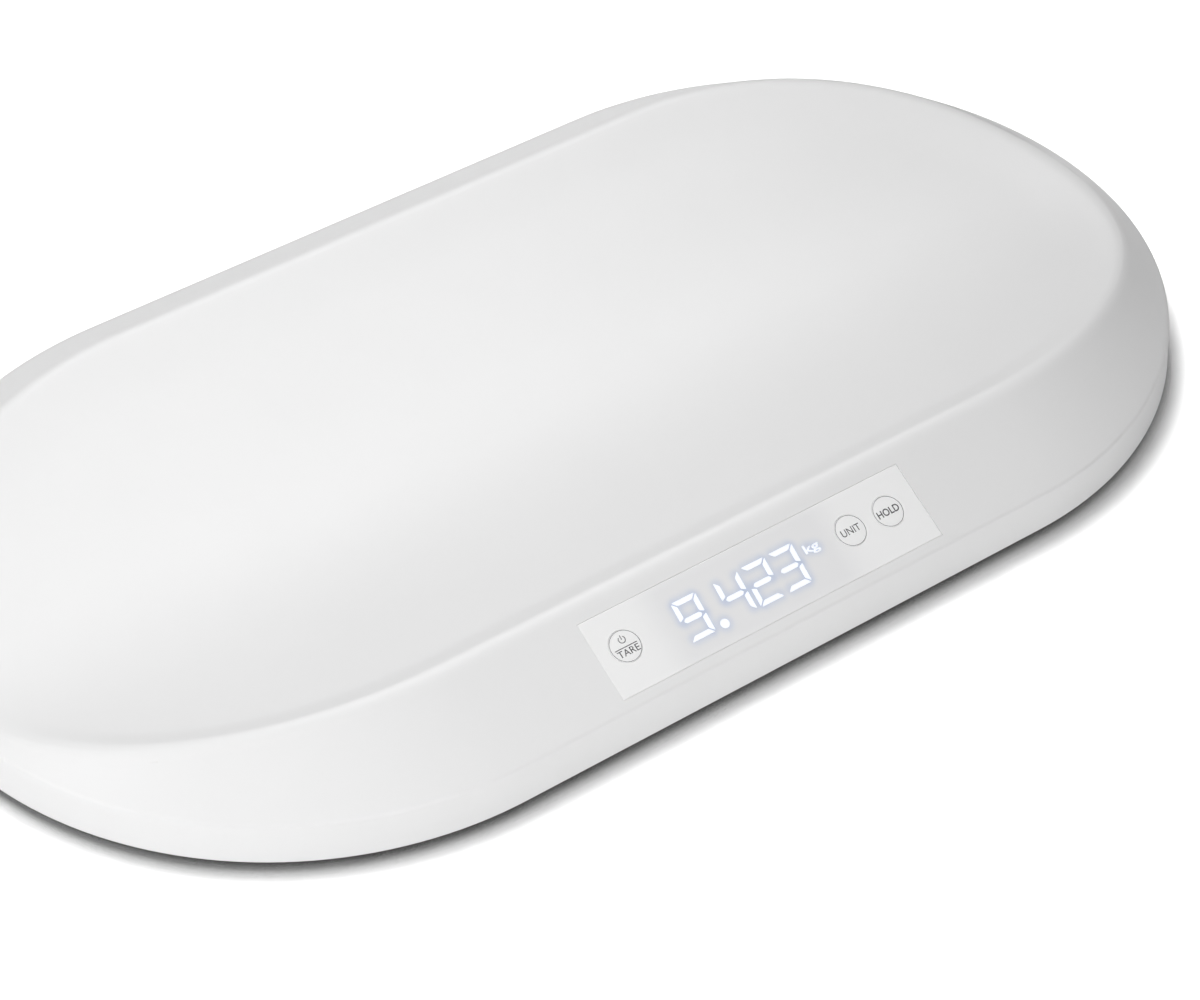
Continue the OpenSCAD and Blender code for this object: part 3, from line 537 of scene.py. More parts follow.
LED_MIDDLE = -5.5
LED_HALF = (34.0, 11.5)
DIGITS = "9423"
DIGIT_PLACES = (-33.0, -13.8, -1.05, 11.7)
DIGIT_WIDTH = 11.0
DIGIT_HEIGHT = 16.5
DIGIT_DROP = 0.8
DIGIT_LEAN = math.tan(math.radians(3.5))
STROKE_WIDTH = 1.9
STROKE_GAP = 0.45
POINT_PLACE = (-23.4, -8.15)
POINT_RADIUS = 1.8
UNIT_WORD_PLACE = (24.0, 2.0)
UNIT_WORD_SIZE = (6.6, 4.7)
LIT_LOW, LIT_HIGH = -0.06, 0.05
PRINT_LOW, PRINT_HIGH = -0.03, 0.03
PANEL_CHAMFER = 0.15
PANEL_CHAMFER_WIDTH = 0.3
PANEL_PITCH = 0.5
KEY_SQUARE = 8.5

LIT_STROKES = {"9": "top upper_right lower_right bottom upper_left middle",
               "4": "upper_left middle upper_right lower_right",
               "2": "top upper_right middle lower_left bottom",
               "3": "top upper_right middle lower_right bottom"}


def soften(outline, radius):
    """A closed plan outline with each corner cut by a short curve."""
    n = len(outline)
    return np.array([point for i in range(n) for point in
                     round_corner(outline[i - 1], outline[i], outline[(i + 1) % n], radius, 4)])


def digit_strokes():
    """Each stroke's mitred outline and middle line about the digit's middle, before its lean."""
    w, h, s, g = DIGIT_WIDTH / 2, DIGIT_HEIGHT / 2, STROKE_WIDTH, STROKE_GAP
    top = [(-w + g, h), (-w + s + g, h - s), (w - s - g, h - s), (w - g, h)]
    side = [(w, h - g), (w - s, h - s - g), (w - s, s / 2 + g), (w, g)]
    middle = [(w - s / 2 - g, 0), (w - s - g, s / 2), (-w + s + g, s / 2),
              (-w + s / 2 + g, 0), (-w + s + g, -s / 2), (w - s - g, -s / 2)]
    shapes = {"top": (top, [(-w + s, h - s / 2), (w - s, h - s / 2)]),
              "side": (side, [(w - s / 2, h - s), (w - s / 2, s / 2)]),
              "middle": (middle, [(-w + s, 0), (w - s, 0)])}
    placing = {"top": ("top", 1, 1), "upper_right": ("side", 1, 1), "middle": ("middle", 1, 1),
               "lower_right": ("side", 1, -1), "bottom": ("top", 1, -1),
               "lower_left": ("side", -1, -1), "upper_left": ("side", -1, 1)}
    strokes = {}
    for name, (shape, flip_x, flip_y) in placing.items():
        outline, line = (np.array(points) * [flip_x, flip_y] for points in shapes[shape])
        strokes[name] = (outline[::flip_x * flip_y], line)
    return strokes


def lean_and_place(points, x):
    """Points of an upright digit, leaned and moved to its place on the panel."""
    points = np.asarray(points, float)
    return np.column_stack([points[:, 0] + DIGIT_LEAN * points[:, 1] + x,
                            points[:, 1] - DIGIT_DROP])


strokes = digit_strokes()
lit_strokes = [(strokes[name], x) for digit, x in zip(DIGITS, DIGIT_PLACES)
               for name in LIT_STROKES[digit].split()]
lit_outlines = [lean_and_place(soften(outline, 0.4), x) for (outline, _), x in lit_strokes]
lit_lines = [lean_and_place(line, x) for (_, line), x in lit_strokes]


def circle(radius, place=(0, 0), steps=48, start=0, end=360):
    """Points counter-clockwise round a circle, or along an arc with both its ends."""
    whole = end - start == 360
    angle = np.radians(np.linspace(start, end, steps, endpoint=not whole))
    return np.column_stack([np.cos(angle), np.sin(angle)]) * radius + place


def plates(outlines, low, high):
    """Flat plates: for each closed outline a face below, a wall round it and a face above."""
    shapes = []
    for outline in outlines:
        n = len(outline)
        points = np.concatenate([np.column_stack([outline, np.full(n, z)]) for z in (low, high)])
        shapes.append((points, [list(range(n))[::-1], list(range(n, 2 * n))]
                       + grid_faces(2, n, closed_columns=True).tolist()))
    return joined(shapes)


def distance_to_line(points, line):
    """Distance of each point from a straight line between two ends."""
    start, end = line
    way = end - start
    share = np.clip((points - start) @ way / (way @ way), 0, 1)
    return np.linalg.norm(points - start - share[:, None] * way, axis=1)


GLOW_REACH = 1.8
GLOW_SHARE = 0.42
UNIT_WORD_SPOTS = ((22.2, 2.6), (25.8, 1.6))
UNIT_WORD_RADIUS = 1.4
# how far the painted shade of the readout block reaches past its box
BLOCK_SHADE_REACH = 9.0


def glow_at(points):
    """Scattered light from 0 to 1: each lit shape adds a bell curve of distance to its edge."""
    lit = [distance_to_line(points, line) - STROKE_WIDTH / 2 for line in lit_lines]
    spots = [(POINT_PLACE, POINT_RADIUS)] + [(p, UNIT_WORD_RADIUS) for p in UNIT_WORD_SPOTS]
    lit += [np.linalg.norm(points - np.array(place), axis=1) - radius for place, radius in spots]
    clear = np.ones(len(points))
    for away in lit:
        clear *= 1 - GLOW_SHARE * np.exp(-(np.maximum(away, 0) / GLOW_REACH) ** 2)
    return 1 - clear


def painted_block_shade_at(points):
    """The readout block's faint painted shade from 0 to 1, fading with the distance from its box.
    """
    outside = np.maximum(np.abs(points - [LED_MIDDLE, 0]) - LED_HALF, 0)
    return np.exp(-(np.linalg.norm(outside, axis=1) / BLOCK_SHADE_REACH) ** 2)


def lines_between(breaks, pitch):
    """Grid lines that take in every break, and between them lie no further apart than pitch."""
    parts = [np.linspace(a, b, math.ceil((b - a) / pitch) + 1)[:-1]
             for a, b in zip(breaks[:-1], breaks[1:])]
    return np.concatenate(parts + [breaks[-1:]])


def panel_plate():
    """The panel as plan points, their heights and faces: a grid led in rings to its round holes.

    Round each key a square of the grid is left out. Its edge points move in straight lines
    towards the key's middle until they lie on the hole's circle.
    """
    half_x, half_y, edge = PANEL_LENGTH / 2, PANEL_HEIGHT / 2, PANEL_CHAMFER_WIDTH
    key_edges = [spot + side * KEY_SQUARE for spot in sorted(KEY_SPOTS.values())
                 for side in (-1, 1)]
    x = lines_between([-half_x, edge - half_x] + key_edges + [half_x - edge, half_x], PANEL_PITCH)
    y = lines_between([-half_y, edge - half_y, KEY_ROW - KEY_SQUARE, KEY_ROW + KEY_SQUARE,
                       half_y - edge, half_y], PANEL_PITCH)
    plan = np.stack(np.meshgrid(x, y), -1).reshape(-1, 2)
    low = (np.abs(plan) > np.array([half_x, half_y]) - 1e-6).any(axis=1)
    quads = grid_faces(len(y), len(x))
    middle = plan[quads].mean(axis=1)
    hole = KEY_GAP + KEY_DIAMETER / 2

    def loop_of(x_ends, y_ends):
        """Grid points counter-clockwise round a rectangle."""
        left, right = (int(np.argmin(np.abs(x - end))) for end in x_ends)
        front, rear = (int(np.argmin(np.abs(y - end))) for end in y_ends)
        across, up = np.arange(left, right), np.arange(front, rear)
        return np.concatenate([front * len(x) + across, up * len(x) + right,
                               rear * len(x) + across[::-1] + 1, (up[::-1] + 1) * len(x) + left])

    plans, lows, tops, walls, count = [plan], [low], [], [], len(plan)
    walls.append((loop_of((-half_x, half_x), (-half_y, half_y)), False))
    for spot in KEY_SPOTS.values():
        inside = (np.abs(middle - [spot, KEY_ROW]) < KEY_SQUARE).all(axis=1)
        quads, middle = quads[~inside], middle[~inside]
        loop = loop_of((spot - KEY_SQUARE, spot + KEY_SQUARE),
                       (KEY_ROW - KEY_SQUARE, KEY_ROW + KEY_SQUARE))
        reach = plan[loop] - [spot, KEY_ROW]
        way = reach / np.linalg.norm(reach, axis=1)[:, None]
        rings = [reach + t * (way * (hole + PANEL_CHAMFER) - reach) for t in (0.3, 0.6, 0.85, 1)]
        for ring, sunk in zip(rings + [way * hole], [False] * 4 + [True]):
            plans.append(ring + [spot, KEY_ROW])
            lows.append(np.full(len(loop), sunk))
            inner = count + np.arange(len(loop))
            tops.append(band(loop, inner))
            loop, count = inner, count + len(loop)
        walls.append((loop, True))

    top = np.concatenate([quads] + tops)
    sides = []
    for loop, is_hole in walls:
        wall = band(loop + count, loop)
        sides.append(wall[:, ::-1] if is_hole else wall)
    plan, low = np.concatenate(plans), np.concatenate(lows)
    heights = np.concatenate([np.where(low, -PANEL_CHAMFER, 0.0),
                              np.full(count, -PANEL_THICKNESS)])
    return np.concatenate([plan, plan]), heights, np.concatenate([top, top[:, ::-1] + count]
                                                                  + sides)


def make_panel():
    """The milky panel, with how strongly the painted halo of the light and the painted shade of
    the block behind it show at each point.
    """
    plan, heights, faces = panel_plate()
    panel = make_piece("milky_panel", (on_panel(np.column_stack([plan, heights])), faces),
                       opal_acrylic, "display_panel", sharp_angle=20)
    for name, values in (("glow", glow_at(plan)), ("painted_block_shade", painted_block_shade_at(plan))):
        attribute = panel.data.attributes.new(name, "FLOAT", "POINT")
        attribute.data.foreach_set("value", values.astype(np.float32))


def lettering(words, place, size, low, high, bolder=0.0):
    """Words as thin flat letters, stretched to a width and height about a place on the panel."""
    curve = bpy.data.curves.new(words, "FONT")
    curve.body = words
    curve.offset = bolder
    curve.extrude = 0.1
    curve.resolution_u = 4
    holder = bpy.data.objects.new(words, curve)
    mesh = bpy.data.meshes.new_from_object(holder)
    points = np.empty(3 * len(mesh.vertices))
    mesh.vertices.foreach_get("co", points)
    points = points.reshape(-1, 3)
    lowest, highest = points.min(axis=0), points.max(axis=0)
    share = (points - lowest) / (highest - lowest) - [0.5, 0.5, 0]
    points = share * [*size, high - low] + [*place, low]
    _, first, same = np.unique(points.round(4), axis=0, return_index=True, return_inverse=True)
    same = same.reshape(-1)
    faces = [same[list(polygon.vertices)].tolist() for polygon in mesh.polygons]
    faces = [face for face in faces if len(set(face)) == len(face)]
    bpy.data.objects.remove(holder)
    return on_panel(points[first]), faces


def make_readout():
    """The lit strokes, point and letters that shine through the panel, a hair above its face."""
    digits = plates(lit_outlines + [circle(POINT_RADIUS, POINT_PLACE)], LIT_LOW, LIT_HIGH)
    word = lettering("kg", UNIT_WORD_PLACE, UNIT_WORD_SIZE, LIT_LOW, LIT_HIGH, bolder=0.012)
    for name, shape in (("lit_digits", shape_on_panel(digits)), ("lit_kg", word)):
        make_piece(name, shape, led_light, sharp_angle=0)


make_panel()
make_readout()

# ---- keys

KEY_EDGE = 0.22
COLLAR_RADIUS = KEY_DIAMETER / 2 + 1.1
COLLAR_TOP = -PANEL_THICKNESS - 0.1
COLLAR_LOW = COLLAR_TOP - 1
STEM_RADIUS = 2.0
STEM_LOW = -4.4
RING_RADIUS = 6.02
RING_WIDTH = 0.2
KEY_WORDS = {"tare": ("TARE", (0.1, -0.95), (9.3, 2.6), 0.0),
             "unit": ("UNIT", (0, KEY_ROW), (8.6, 2.9), 0.0),
             "hold": ("HOLD", (0, KEY_ROW), (9.9, 3.0), 0.012)}
TARE_BAR = 1.0
TARE_BAR_HALF = 4.9
INK_LINE = 0.3
POWER_PLACE = (0.1, 4.0)
POWER_RADIUS = 1.35
POWER_ARC = (24, 128, 412)
POWER_STEM = 1.75


def make_key(name, x):
    """A round cap level with the panel, its collar below it and the stem down to its switch."""
    edge = KEY_DIAMETER / 2
    profile = [(0, STEM_LOW), (STEM_RADIUS, STEM_LOW), (STEM_RADIUS, COLLAR_LOW),
               (COLLAR_RADIUS, COLLAR_LOW), (COLLAR_RADIUS, COLLAR_TOP), (edge, COLLAR_TOP)]
    profile += round_corner((edge, COLLAR_TOP), (edge, 0), (0, 0), KEY_EDGE, 6) + [(0, 0)]
    make_piece(name + "_key_cap",
               shape_on_panel(repeated(lathe(profile, 96), [(x, KEY_ROW, 0)])),
               cap_acrylic, "key_" + name, name + "_key", sharp_angle=50)

    inner, outer = circle(RING_RADIUS, steps=96), circle(RING_RADIUS + RING_WIDTH, steps=96)
    points = np.column_stack([np.concatenate([inner, outer, outer, inner]),
                              np.repeat([PRINT_LOW, PRINT_LOW, PRINT_HIGH, PRINT_HIGH], 96)])
    faces = grid_faces(4, 96, closed_columns=True, closed_rows=True)
    make_piece(name + "_key_ring", (on_panel(points + [x, KEY_ROW, 0]), faces), ring_ink,
               body=name + "_key", sharp_angle=0)


def make_tare_symbol():
    """The bar over the tare key's word, and the power symbol over that."""
    x = KEY_SPOTS["tare"]
    half = INK_LINE / 2
    bar = np.array([(-TARE_BAR_HALF, -half), (TARE_BAR_HALF, -half), (TARE_BAR_HALF, half),
                    (-TARE_BAR_HALF, half)])
    power = np.array(POWER_PLACE) + [x, 0]
    arc = np.concatenate([circle(POWER_RADIUS + half, power, *POWER_ARC),
                          circle(POWER_RADIUS - half, power, *POWER_ARC)[::-1]])
    stem = np.array([(-half, 0), (half, 0), (half, POWER_STEM), (-half, POWER_STEM)]) + power
    make_piece("tare_key_symbol",
               shape_on_panel(plates([bar + [x, TARE_BAR], arc, stem], PRINT_LOW, PRINT_HIGH)),
               print_ink, body="tare_key", sharp_angle=0)


for name, spot in KEY_SPOTS.items():
    make_key(name, spot)
make_tare_symbol()
for name, (words, (x, y), size, bolder) in KEY_WORDS.items():
    make_piece(name + "_key_word",
               lettering(words, (KEY_SPOTS[name] + x, y), size, PRINT_LOW, PRINT_HIGH, bolder),
               print_ink, body=name + "_key", sharp_angle=0)

# ---- feet

corners = [front + "_" + side for front in ("front", "rear") for side in ("left", "right")]
CUP_EDGE = 0.6
GROOVES = (5, 8, 11, 14, 17)
GROOVE_HALF = 0.5
GROOVE_DEPTH = 0.5
GROOVE_SLOPE = 0.3
CUP_TOP = RIM_HEIGHT + 1.2
POST_RADIUS = 5.0
FOOT_ROOM = 0.42


def make_foot(corner):
    """A cup on a post, with rounded edges, and the ringed rubber pad under it.

    The post ends FOOT_ROOM below its load cell, so it only meets the cell at full load.
    """
    cup_low, cup_high = box_mm("foot_cup_" + corner)
    pad_low, pad_high = box_mm("foot_pad_" + corner)
    middle = (cup_low + cup_high) / 2 * [1, 1, 0]
    cup_radius = (cup_high[0] - cup_low[0]) / 2
    pad_radius = (pad_high[0] - pad_low[0]) / 2
    seat, top, post_top = pad_high[2], CUP_TOP, cup_high[2] - FOOT_ROOM
    profile = [(0, seat), (pad_radius, seat), (pad_radius, cup_low[2])]
    profile += round_corner((pad_radius, cup_low[2]), (cup_radius, cup_low[2]),
                            (cup_radius, top), CUP_EDGE)
    profile += round_corner((cup_radius, cup_low[2]), (cup_radius, top), (0, top), CUP_EDGE)
    profile += [(POST_RADIUS, top)]
    profile += round_corner((POST_RADIUS, top), (POST_RADIUS, post_top), (0, post_top), 0.4, 3)
    cup = repeated(lathe(profile + [(0, post_top)], 96), [middle])
    make_piece("foot_" + corner + "_cup", cup, cover_abs, "foot_cup_" + corner,
               "foot_" + corner)

    profile = [(0, 0)]
    for r in GROOVES:
        profile += [(r - GROOVE_HALF - GROOVE_SLOPE, 0), (r - GROOVE_HALF, GROOVE_DEPTH),
                    (r + GROOVE_HALF, GROOVE_DEPTH), (r + GROOVE_HALF + GROOVE_SLOPE, 0)]
    profile += round_corner((0, 0), (pad_radius, 0), (pad_radius, seat), CUP_EDGE)
    pad = repeated(lathe(profile + [(pad_radius, seat), (0, seat)], 96), [middle])
    make_piece("foot_" + corner + "_pad", pad, foot_rubber, "foot_pad_" + corner,
               "foot_" + corner)


for corner in corners:
    make_foot(corner)

# ---- screws and bosses

COVER_BOTTOM = RIM_HEIGHT + 0.5
COVER_TOP = COVER_BOTTOM + 2.5
SCREW_SPOTS = [(sx * x, sy * y) for sx in (-1, 1) for sy in (-1, 1)
               for x, y in ((100, END_RADIUS - 26.5), (BODY_LENGTH / 2 - 43, 50))]
SCREW_SEAT = COVER_BOTTOM + 2
BOSS_LOW = COVER_TOP + 2
BOSS_RADIUS = 4.0
BOSS_HOLE = 1.5
BOSS_HOLE_TOP = SCREW_SEAT + 11
# A height above every wall. Points given it are then moved to the wall.
BOSS_MARK = 40
POST_SPOTS = [(sx * (PANEL_LENGTH / 2 + 4.8), sy * 8) for sx in (-1, 1) for sy in (-1, 1)]
DISPLAY_DEPTH = 9.0
BOARD_THICKNESS = 1.6


def screw(head_radius, head_height, shank_radius, length, steps=48):
    """A pan-head screw along Z with its seat at 0, its head below and its shank above.

    The head's face is a shallow parabola, pressed in where both arms of a cross reach.
    """
    radii = np.concatenate([np.linspace(0, 0.62, 14)[1:], [0.75, 0.88]]) * head_radius
    bulge = 0.3 * head_height
    profile = [(0, -head_height)]
    profile += [(r, bulge * (r / head_radius) ** 2 - head_height) for r in radii]
    profile += round_corner((radii[-1], bulge - head_height), (head_radius, bulge - head_height),
                            (head_radius, 0), 0.12 * head_radius, 4)
    profile += [(head_radius, 0), (shank_radius, 0), (shank_radius, length - shank_radius),
                (0.3 * shank_radius, length), (0, length)]
    points, faces = lathe(profile, steps)
    size = np.abs(points[:, :2]) / head_radius
    arm = 1 - np.clip((size.min(axis=1) - 0.07) / 0.08, 0, 1)
    end = 1 - np.clip((size.max(axis=1) - 0.42) / 0.16, 0, 1)
    on_face = points[:, 2] < bulge - 0.99 * head_height + 0.5 * bulge
    points[:, 2] += np.where(on_face, 0.5 * head_height * arm * end, 0)
    return points, faces


def make_screws(name, node, shape):
    """A group of equal screws in place of a node."""
    make_piece(name, shape, zinc_steel, node, sharp_angle=40)


def box_middle(node):
    """The middle of a node's box in millimetres, and its size."""
    low, high = box_mm(node)
    return (low + high) / 2, high - low


CELL_HOLE_SPOT = 14.0
board_middle, board_size = box_middle("main_board")
board_top = board_middle[2] + board_size[2] / 2
board_spots = [(sx * (board_size[0] / 2 - 4), board_middle[1] + sy * (board_size[1] / 2 - 4),
                board_top) for sx in (-1, 1) for sy in (-1, 1)]
cell_spots = []
for corner in corners:
    middle, size = box_middle("foot_cup_" + corner)
    cell_spots += [middle + [sx * CELL_HOLE_SPOT, sy * CELL_HOLE_SPOT, size[2] / 2]
                   for sx in (-1, 1) for sy in (-1, 1)]
cell_screw_length = box_middle("load_cell_screws")[1][2] - 1.5

make_screws("cross_recess_cover_screws", "cover_screws",
            repeated(screw(2.8, 1.8, 1.5, 10), [(x, y, SCREW_SEAT) for x, y in SCREW_SPOTS]))
make_screws("cross_recess_cell_screws", "load_cell_screws",
            repeated(screw(1.9, 1.5, 1.0, cell_screw_length, 24), cell_spots))
make_screws("cross_recess_readout_screws", "display_screws",
            shape_on_panel(repeated(screw(1.9, 1.5, 1.0, 5.5, 24), [
                (x, y, -DISPLAY_DEPTH - BOARD_THICKNESS) for x, y in POST_SPOTS])))
upside_down = screw(1.9, 1.5, 1.0, 4.0, 24)
make_screws("cross_recess_board_screws", "main_board_screws",
            repeated((upside_down[0] * [1, -1, -1], upside_down[1]), board_spots))


def wall_above(points):
    """Height half way through the wall above each point, on the flank or under the tray."""
    away = np.abs(points[:, 1])
    front = points[:, 1] < 0
    climb = np.where(front, FLANK_CLIMB, REAR_CLIMB)
    flank = SKIRT_TOP + (END_RADIUS - SKIRT_LEAN - away) * climb
    crest = np.where(front, CREST_FRONT, CREST_REAR)
    return np.where(away > crest, flank, tray_height(away)) - SHELL_WALL / 2


def make_bosses():
    """Screw bosses under the tray and posts behind the panel, each ending inside the wall."""
    hole = [(0, BOSS_HOLE_TOP), (BOSS_HOLE, BOSS_HOLE_TOP), (BOSS_HOLE, BOSS_LOW)]
    post = [(BOSS_RADIUS, BOSS_LOW), (BOSS_RADIUS, BOSS_MARK), (0, BOSS_MARK)]
    points, faces = repeated(lathe(hole + post, 48), [(x, y, 0) for x, y in SCREW_SPOTS])
    points[:, 2] = np.where(points[:, 2] == BOSS_MARK, wall_above(points), points[:, 2])
    make_piece("shell_screw_bosses", (points, faces), shell_abs)
    post = [(0, -4.4), (1, -4.4), (1, -DISPLAY_DEPTH), (3, -DISPLAY_DEPTH),
            (3, -PANEL_THICKNESS), (0, -PANEL_THICKNESS)]
    posts = repeated(lathe(post, 32), [(x, y, 0) for x, y in POST_SPOTS])
    make_piece("shell_readout_posts", shape_on_panel(posts), shell_abs)


make_bosses()

# ---- batteries

NUB_RADIUS = 2.7
NUB_LENGTH = 1.0
SPRING_WIRE = 0.35
SPRING_TURNS = 5


def turned_along_x(points, way):
    """Points made along +Z, laid along +X, or along -X where way is -1."""
    return points[:, [2, 1, 0]] * [way, 1, -way]


def make_cell(number):
    """A dry cell: a sleeve shrunk over its shoulders, and its two steel ends."""
    middle, size = box_middle(f"battery_cell_{number}")
    way = 1 if number % 2 else -1
    r, half = size[1] / 2, size[0] / 2
    shoulder = half - NUB_LENGTH
    profile = [(0, -half + 0.3), (r - 1.6, -half + 0.3)]
    profile += round_corner((r - 1.4, -half), (r, -half), (r, 0), 0.9)
    profile += round_corner((r, 0), (r, shoulder), (0, shoulder), 0.9)
    profile += [(r - 1.6, shoulder - 0.3), (0, shoulder - 0.3)]
    points, faces = lathe(profile, 64)
    make_piece(f"dry_cell_{number}_sleeve", (turned_along_x(points, way) + middle, faces),
               cell_sleeve, f"battery_cell_{number}")
    nub = [(0, shoulder - 0.5), (r - 1.7, shoulder - 0.5), (r - 1.7, shoulder - 0.2),
           (NUB_RADIUS, shoulder - 0.1)]
    nub += round_corner((NUB_RADIUS, shoulder), (NUB_RADIUS, half), (0, half), 0.4) + [(0, half)]
    base = [(0, -half), (r - 2.2, -half), (r - 1.7, -half + 0.2), (r - 1.7, -half + 0.5),
            (0, -half + 0.5)]
    points, faces = joined([lathe(nub, 48), lathe(base, 48)])
    make_piece(f"dry_cell_{number}_ends", (turned_along_x(points, way) + middle, faces),
               zinc_steel)
    return middle, size, way


def spring(wide, narrow, height):
    """A conical coil: a round tube along a helix whose radius shrinks in step with its height."""
    t = np.linspace(0, 1, SPRING_TURNS * 28 + 1)
    angle = 2 * math.pi * SPRING_TURNS * t
    radius = wide + (narrow - wide) * t - SPRING_WIRE
    rise = SPRING_WIRE + (height - 2 * SPRING_WIRE) * t
    middle = np.column_stack([radius * np.cos(angle), radius * np.sin(angle), rise])
    outward = np.column_stack([np.cos(angle), np.sin(angle), 0 * t])
    around = np.radians(np.arange(8) * 45)
    rings = (middle[:, None] + SPRING_WIRE * (np.cos(around)[None, :, None] * outward[:, None]
             + np.sin(around)[None, :, None] * np.array([0, 0, 1])))
    return capped(rings)


def make_springs(cells):
    """One conical spring behind each cell's flat end."""
    springs = []
    for middle, size, way in cells:
        room = BAY_HALF_LENGTH + way * middle[0] - size[0] / 2
        points, faces = spring(size[1] / 2 - 1.2, NUB_RADIUS, room)
        points = turned_along_x(points + [0, 0, -BAY_HALF_LENGTH], way)
        springs.append((points + middle * [0, 1, 1], faces))
    make_piece("coiled_battery_springs", joined(springs), spring_nickel,
               "battery_springs", sharp_angle=60)


BAY_HALF_LENGTH = box_middle("battery_springs")[1][0] / 2
make_springs([make_cell(number) for number in (1, 2, 3, 4)])

# ---- battery door

GRIP_LENGTH = 16.0
GRIP_WIDTH = 1.1
GRIP_HEIGHT = 0.4
GRIP_COUNT = 5
GRIP_STEP = 2.2


def rounded_bar(length, width, height):
    """A low bar hanging from 0: stadium rings drawn in along a quarter ellipse."""
    rings = []
    for a in np.radians((0, 20, 40, 60, 75, 88)):
        inset = width / 2 * (1 - math.cos(a))
        ends = [circle(width / 2 - inset, ((length - width) / 2 * side, 0), 9, start, start + 180)
                for side, start in ((1, -90), (-1, 90))]
        rings.append(np.column_stack([np.concatenate(ends), np.full(18, -height * math.sin(a))]))
    return capped(np.array(rings))


door_middle, door_size = box_middle("battery_door")
door_rear = door_middle[1] + door_size[1] / 2
grip = repeated(rounded_bar(GRIP_LENGTH, GRIP_WIDTH, GRIP_HEIGHT),
                [(0, door_rear - 4 - k * GRIP_STEP, COVER_BOTTOM + 0.02)
                 for k in range(GRIP_COUNT)])
make_piece("battery_door_grip", grip, cover_abs, body="battery_lid")

# ---- finishes of the other pieces

FINISHES = {"bottom_cover": cover_abs, "battery_door": cover_abs, "panel_tape": foam_tape,
            "led_module": black_epoxy, "led_segments": led_light, "display_board": board_mask,
            "main_board": board_mask, "main_board_chips": black_epoxy, "wire_sockets": nylon,
            "ribbon_sockets": nylon, "ribbon_cable": grey_pvc, "battery_plates": zinc_steel,
            "battery_wires": red_pvc}
FINISHES.update({"load_cell_" + corner: zinc_steel for corner in corners})
FINISHES.update({"wire_" + corner: grey_pvc for corner in corners})
FINISHES.update({kind + name: black_epoxy
                 for kind in ("plunger_", "switch_") for name in KEY_SPOTS})

for node, finish in FINISHES.items():
    for material_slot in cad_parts[node].material_slots:
        material_slot.material = finish

# ---- camera, floor and light

CAMERA_PLACE = np.array([-611.4, -870.2, 924.8])
CAMERA_TURN = math.radians(36.09)
CAMERA_TILT = math.radians(41.79)
CAMERA_ROLL = math.radians(-0.14)
CAMERA_LENS = 106.9
FLOOR_RADIUS = 3.0
FLOOR_LIT = 1.0
FLOOR_SEEN = 2.2
SHADOW_REACH = 12.0
SHADOW_POWER = 3.0
FAR_GLOW = (0.3, 0.8)
WORLD_LIGHT = 0.02
LAMP_AIM = (0, 0, 0.02)
LAMPS = (("rear_right_high", (0.31, 0.54, 1.08), 0.8, 2.2),
         ("rear_right_near", (0.35, 0.6, 0.8), 0.7, 4.1),
         ("front_low", (-0.19, -1.07, 0.62), 0.8, 5.3),
         ("front_left", (-0.3, -0.6, 0.8), 0.7, 1.6),
         ("left_low", (-0.95, 0, 0.5), 0.7, 4.0),
         ("left_high", (-0.45, 0.3, 0.85), 0.6, 1.2))


def make_camera():
    """A camera that looks down at the front of the scale from the left."""
    ca, sa = math.cos(CAMERA_TURN), math.sin(CAMERA_TURN)
    ce, se = math.cos(CAMERA_TILT), math.sin(CAMERA_TILT)
    right = np.array([ca, -sa, 0])
    up = np.array([sa * se, ca * se, ce])
    back = np.array([-sa * ce, -ca * ce, se])
    frame_turn = Matrix(np.column_stack([right, up, back]).tolist()).to_4x4()
    lens = bpy.data.cameras.new("camera")
    lens.lens = CAMERA_LENS
    lens.sensor_width = 36
    lens.clip_end = 20
    camera = put_in_scene("camera", lens)
    camera.matrix_world = (Matrix.Translation(Vector(CAMERA_PLACE * MM)) @ frame_turn
                           @ Matrix.Rotation(CAMERA_ROLL, 4, "Z"))
    bpy.context.scene.camera = camera


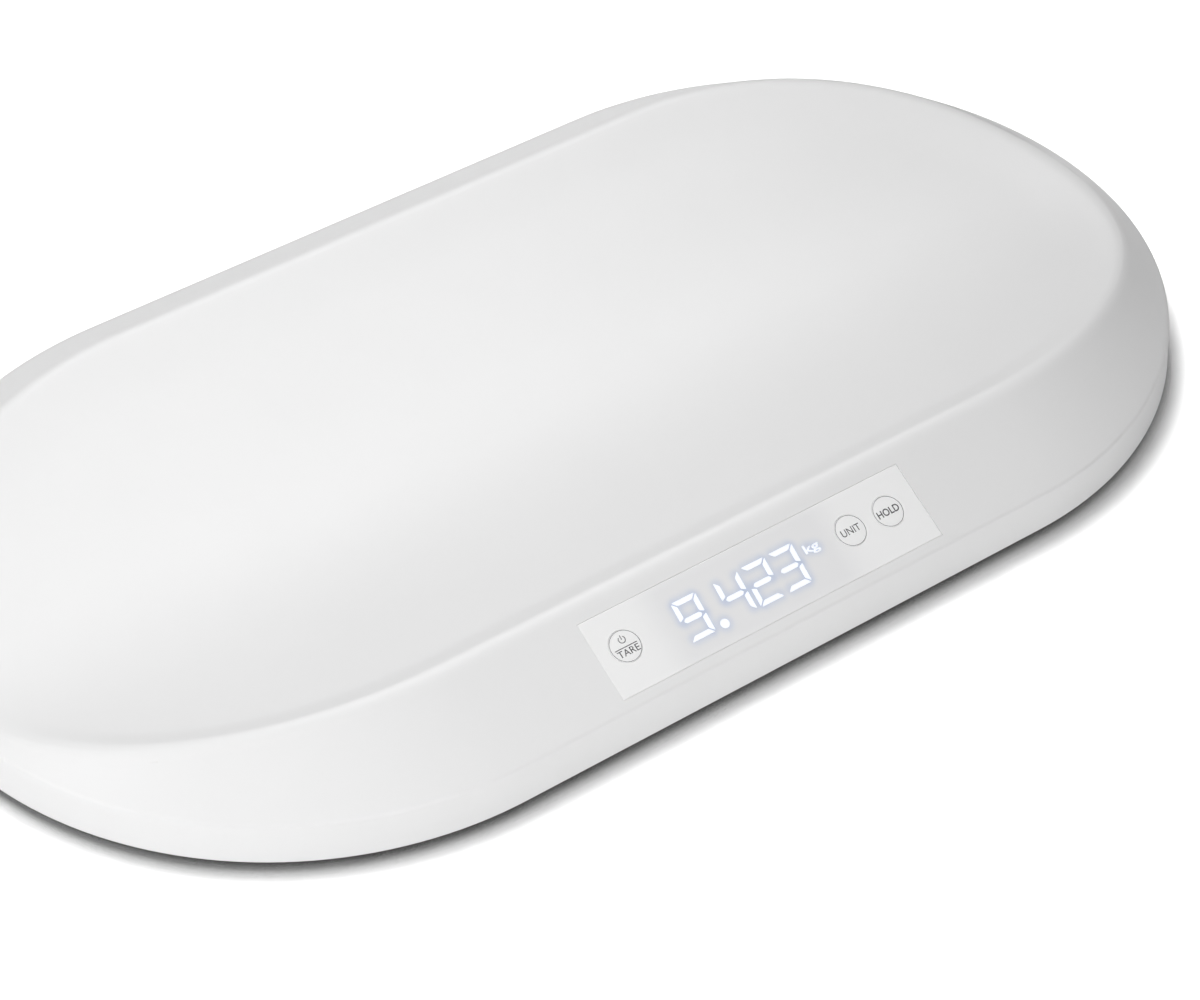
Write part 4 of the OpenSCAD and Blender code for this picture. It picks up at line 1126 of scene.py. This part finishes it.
def make_floor():
    """A round white card floor. To the camera it shows brighter than it is lit.

    So it ends in plain white. Only the close shadow under the body's rim stays: there the shade
    falls with a power of how much of the space within SHADOW_REACH is open. Far out, where the
    lamps fade, a white glow seen only by the camera takes over between two distances.
    """
    points = np.column_stack([circle(FLOOR_RADIUS, steps=64), np.zeros(64)])
    mesh = bpy.data.meshes.new("floor")
    mesh.from_pydata(points.tolist(), [], [list(range(64))])
    floor = put_in_scene("floor", mesh)
    material = bpy.data.materials.new("white_card_floor")
    material.use_nodes = True
    tree = material.node_tree
    tree.nodes.remove(tree.nodes["Principled BSDF"])
    path = add_node(tree, "LightPath")
    openness = add_node(tree, "AmbientOcclusion", {"samples": 4},
                        Distance=SHADOW_REACH * MM)
    shade = add_node(tree, "Math", {"operation": "POWER"}, _0=openness.outputs["AO"],
                     _1=SHADOW_POWER)
    white = add_node(tree, "Math", {"operation": "MULTIPLY"}, _0=shade.outputs[0],
                     _1=FLOOR_SEEN)
    colour = mixed(tree, path.outputs["Is Camera Ray"], (*[FLOOR_LIT] * 3, 1), white.outputs[0])
    card = add_node(tree, "BsdfDiffuse", Color=colour)
    place = add_node(tree, "TexCoord")
    away = add_node(tree, "VectorMath", {"operation": "LENGTH"},
                    _0=place.outputs["Object"])
    far = add_node(tree, "MapRange", {"interpolation_type": "SMOOTHSTEP"},
                   Value=away.outputs["Value"], From_Min=FAR_GLOW[0], From_Max=FAR_GLOW[1])
    strength = add_node(tree, "Math", {"operation": "MULTIPLY"}, _0=far.outputs[0],
                        _1=path.outputs["Is Camera Ray"])
    glow = add_node(tree, "Emission", Strength=strength.outputs[0])
    both = add_node(tree, "AddShader", _0=card.outputs["BSDF"],
                    _1=glow.outputs["Emission"])
    tree.links.new(both.outputs[0], tree.nodes["Material Output"].inputs["Surface"])
    mesh.materials.append(material)


def make_world():
    """A plain white surround: white where it is seen, softer where it lights."""
    world = bpy.data.worlds.new("surround")
    bpy.context.scene.world = world
    world.use_nodes = True
    tree = world.node_tree
    path = add_node(tree, "LightPath")
    seen = add_node(tree, "Math", {"operation": "MAXIMUM"},
                    _0=path.outputs["Is Camera Ray"], _1=path.outputs["Is Transmission Ray"])
    strength = add_node(tree, "MapRange", Value=seen.outputs[0], To_Min=WORLD_LIGHT,
                        To_Max=1.0)
    background = tree.nodes["Background"]
    background.inputs["Color"].default_value = (1, 1, 1, 1)
    tree.links.new(strength.outputs[0], background.inputs["Strength"])


def make_lamp(name, place, size, watts):
    """A soft square lamp at a place in metres, aimed at the middle of the scale."""
    light = bpy.data.lights.new(name, "AREA")
    light.shape = "RECTANGLE"
    light.size = light.size_y = size
    light.energy = watts
    way = Vector(LAMP_AIM) - Vector(place)
    put_in_scene(name, light).matrix_world = (Matrix.Translation(Vector(place))
                                              @ way.to_track_quat("-Z", "Y").to_matrix().to_4x4())


make_camera()
make_floor()
make_world()
for name, place, size, watts in LAMPS:
    make_lamp(name + "_lamp", place, size, watts)
bpy.context.scene.view_settings.view_transform = "Standard"
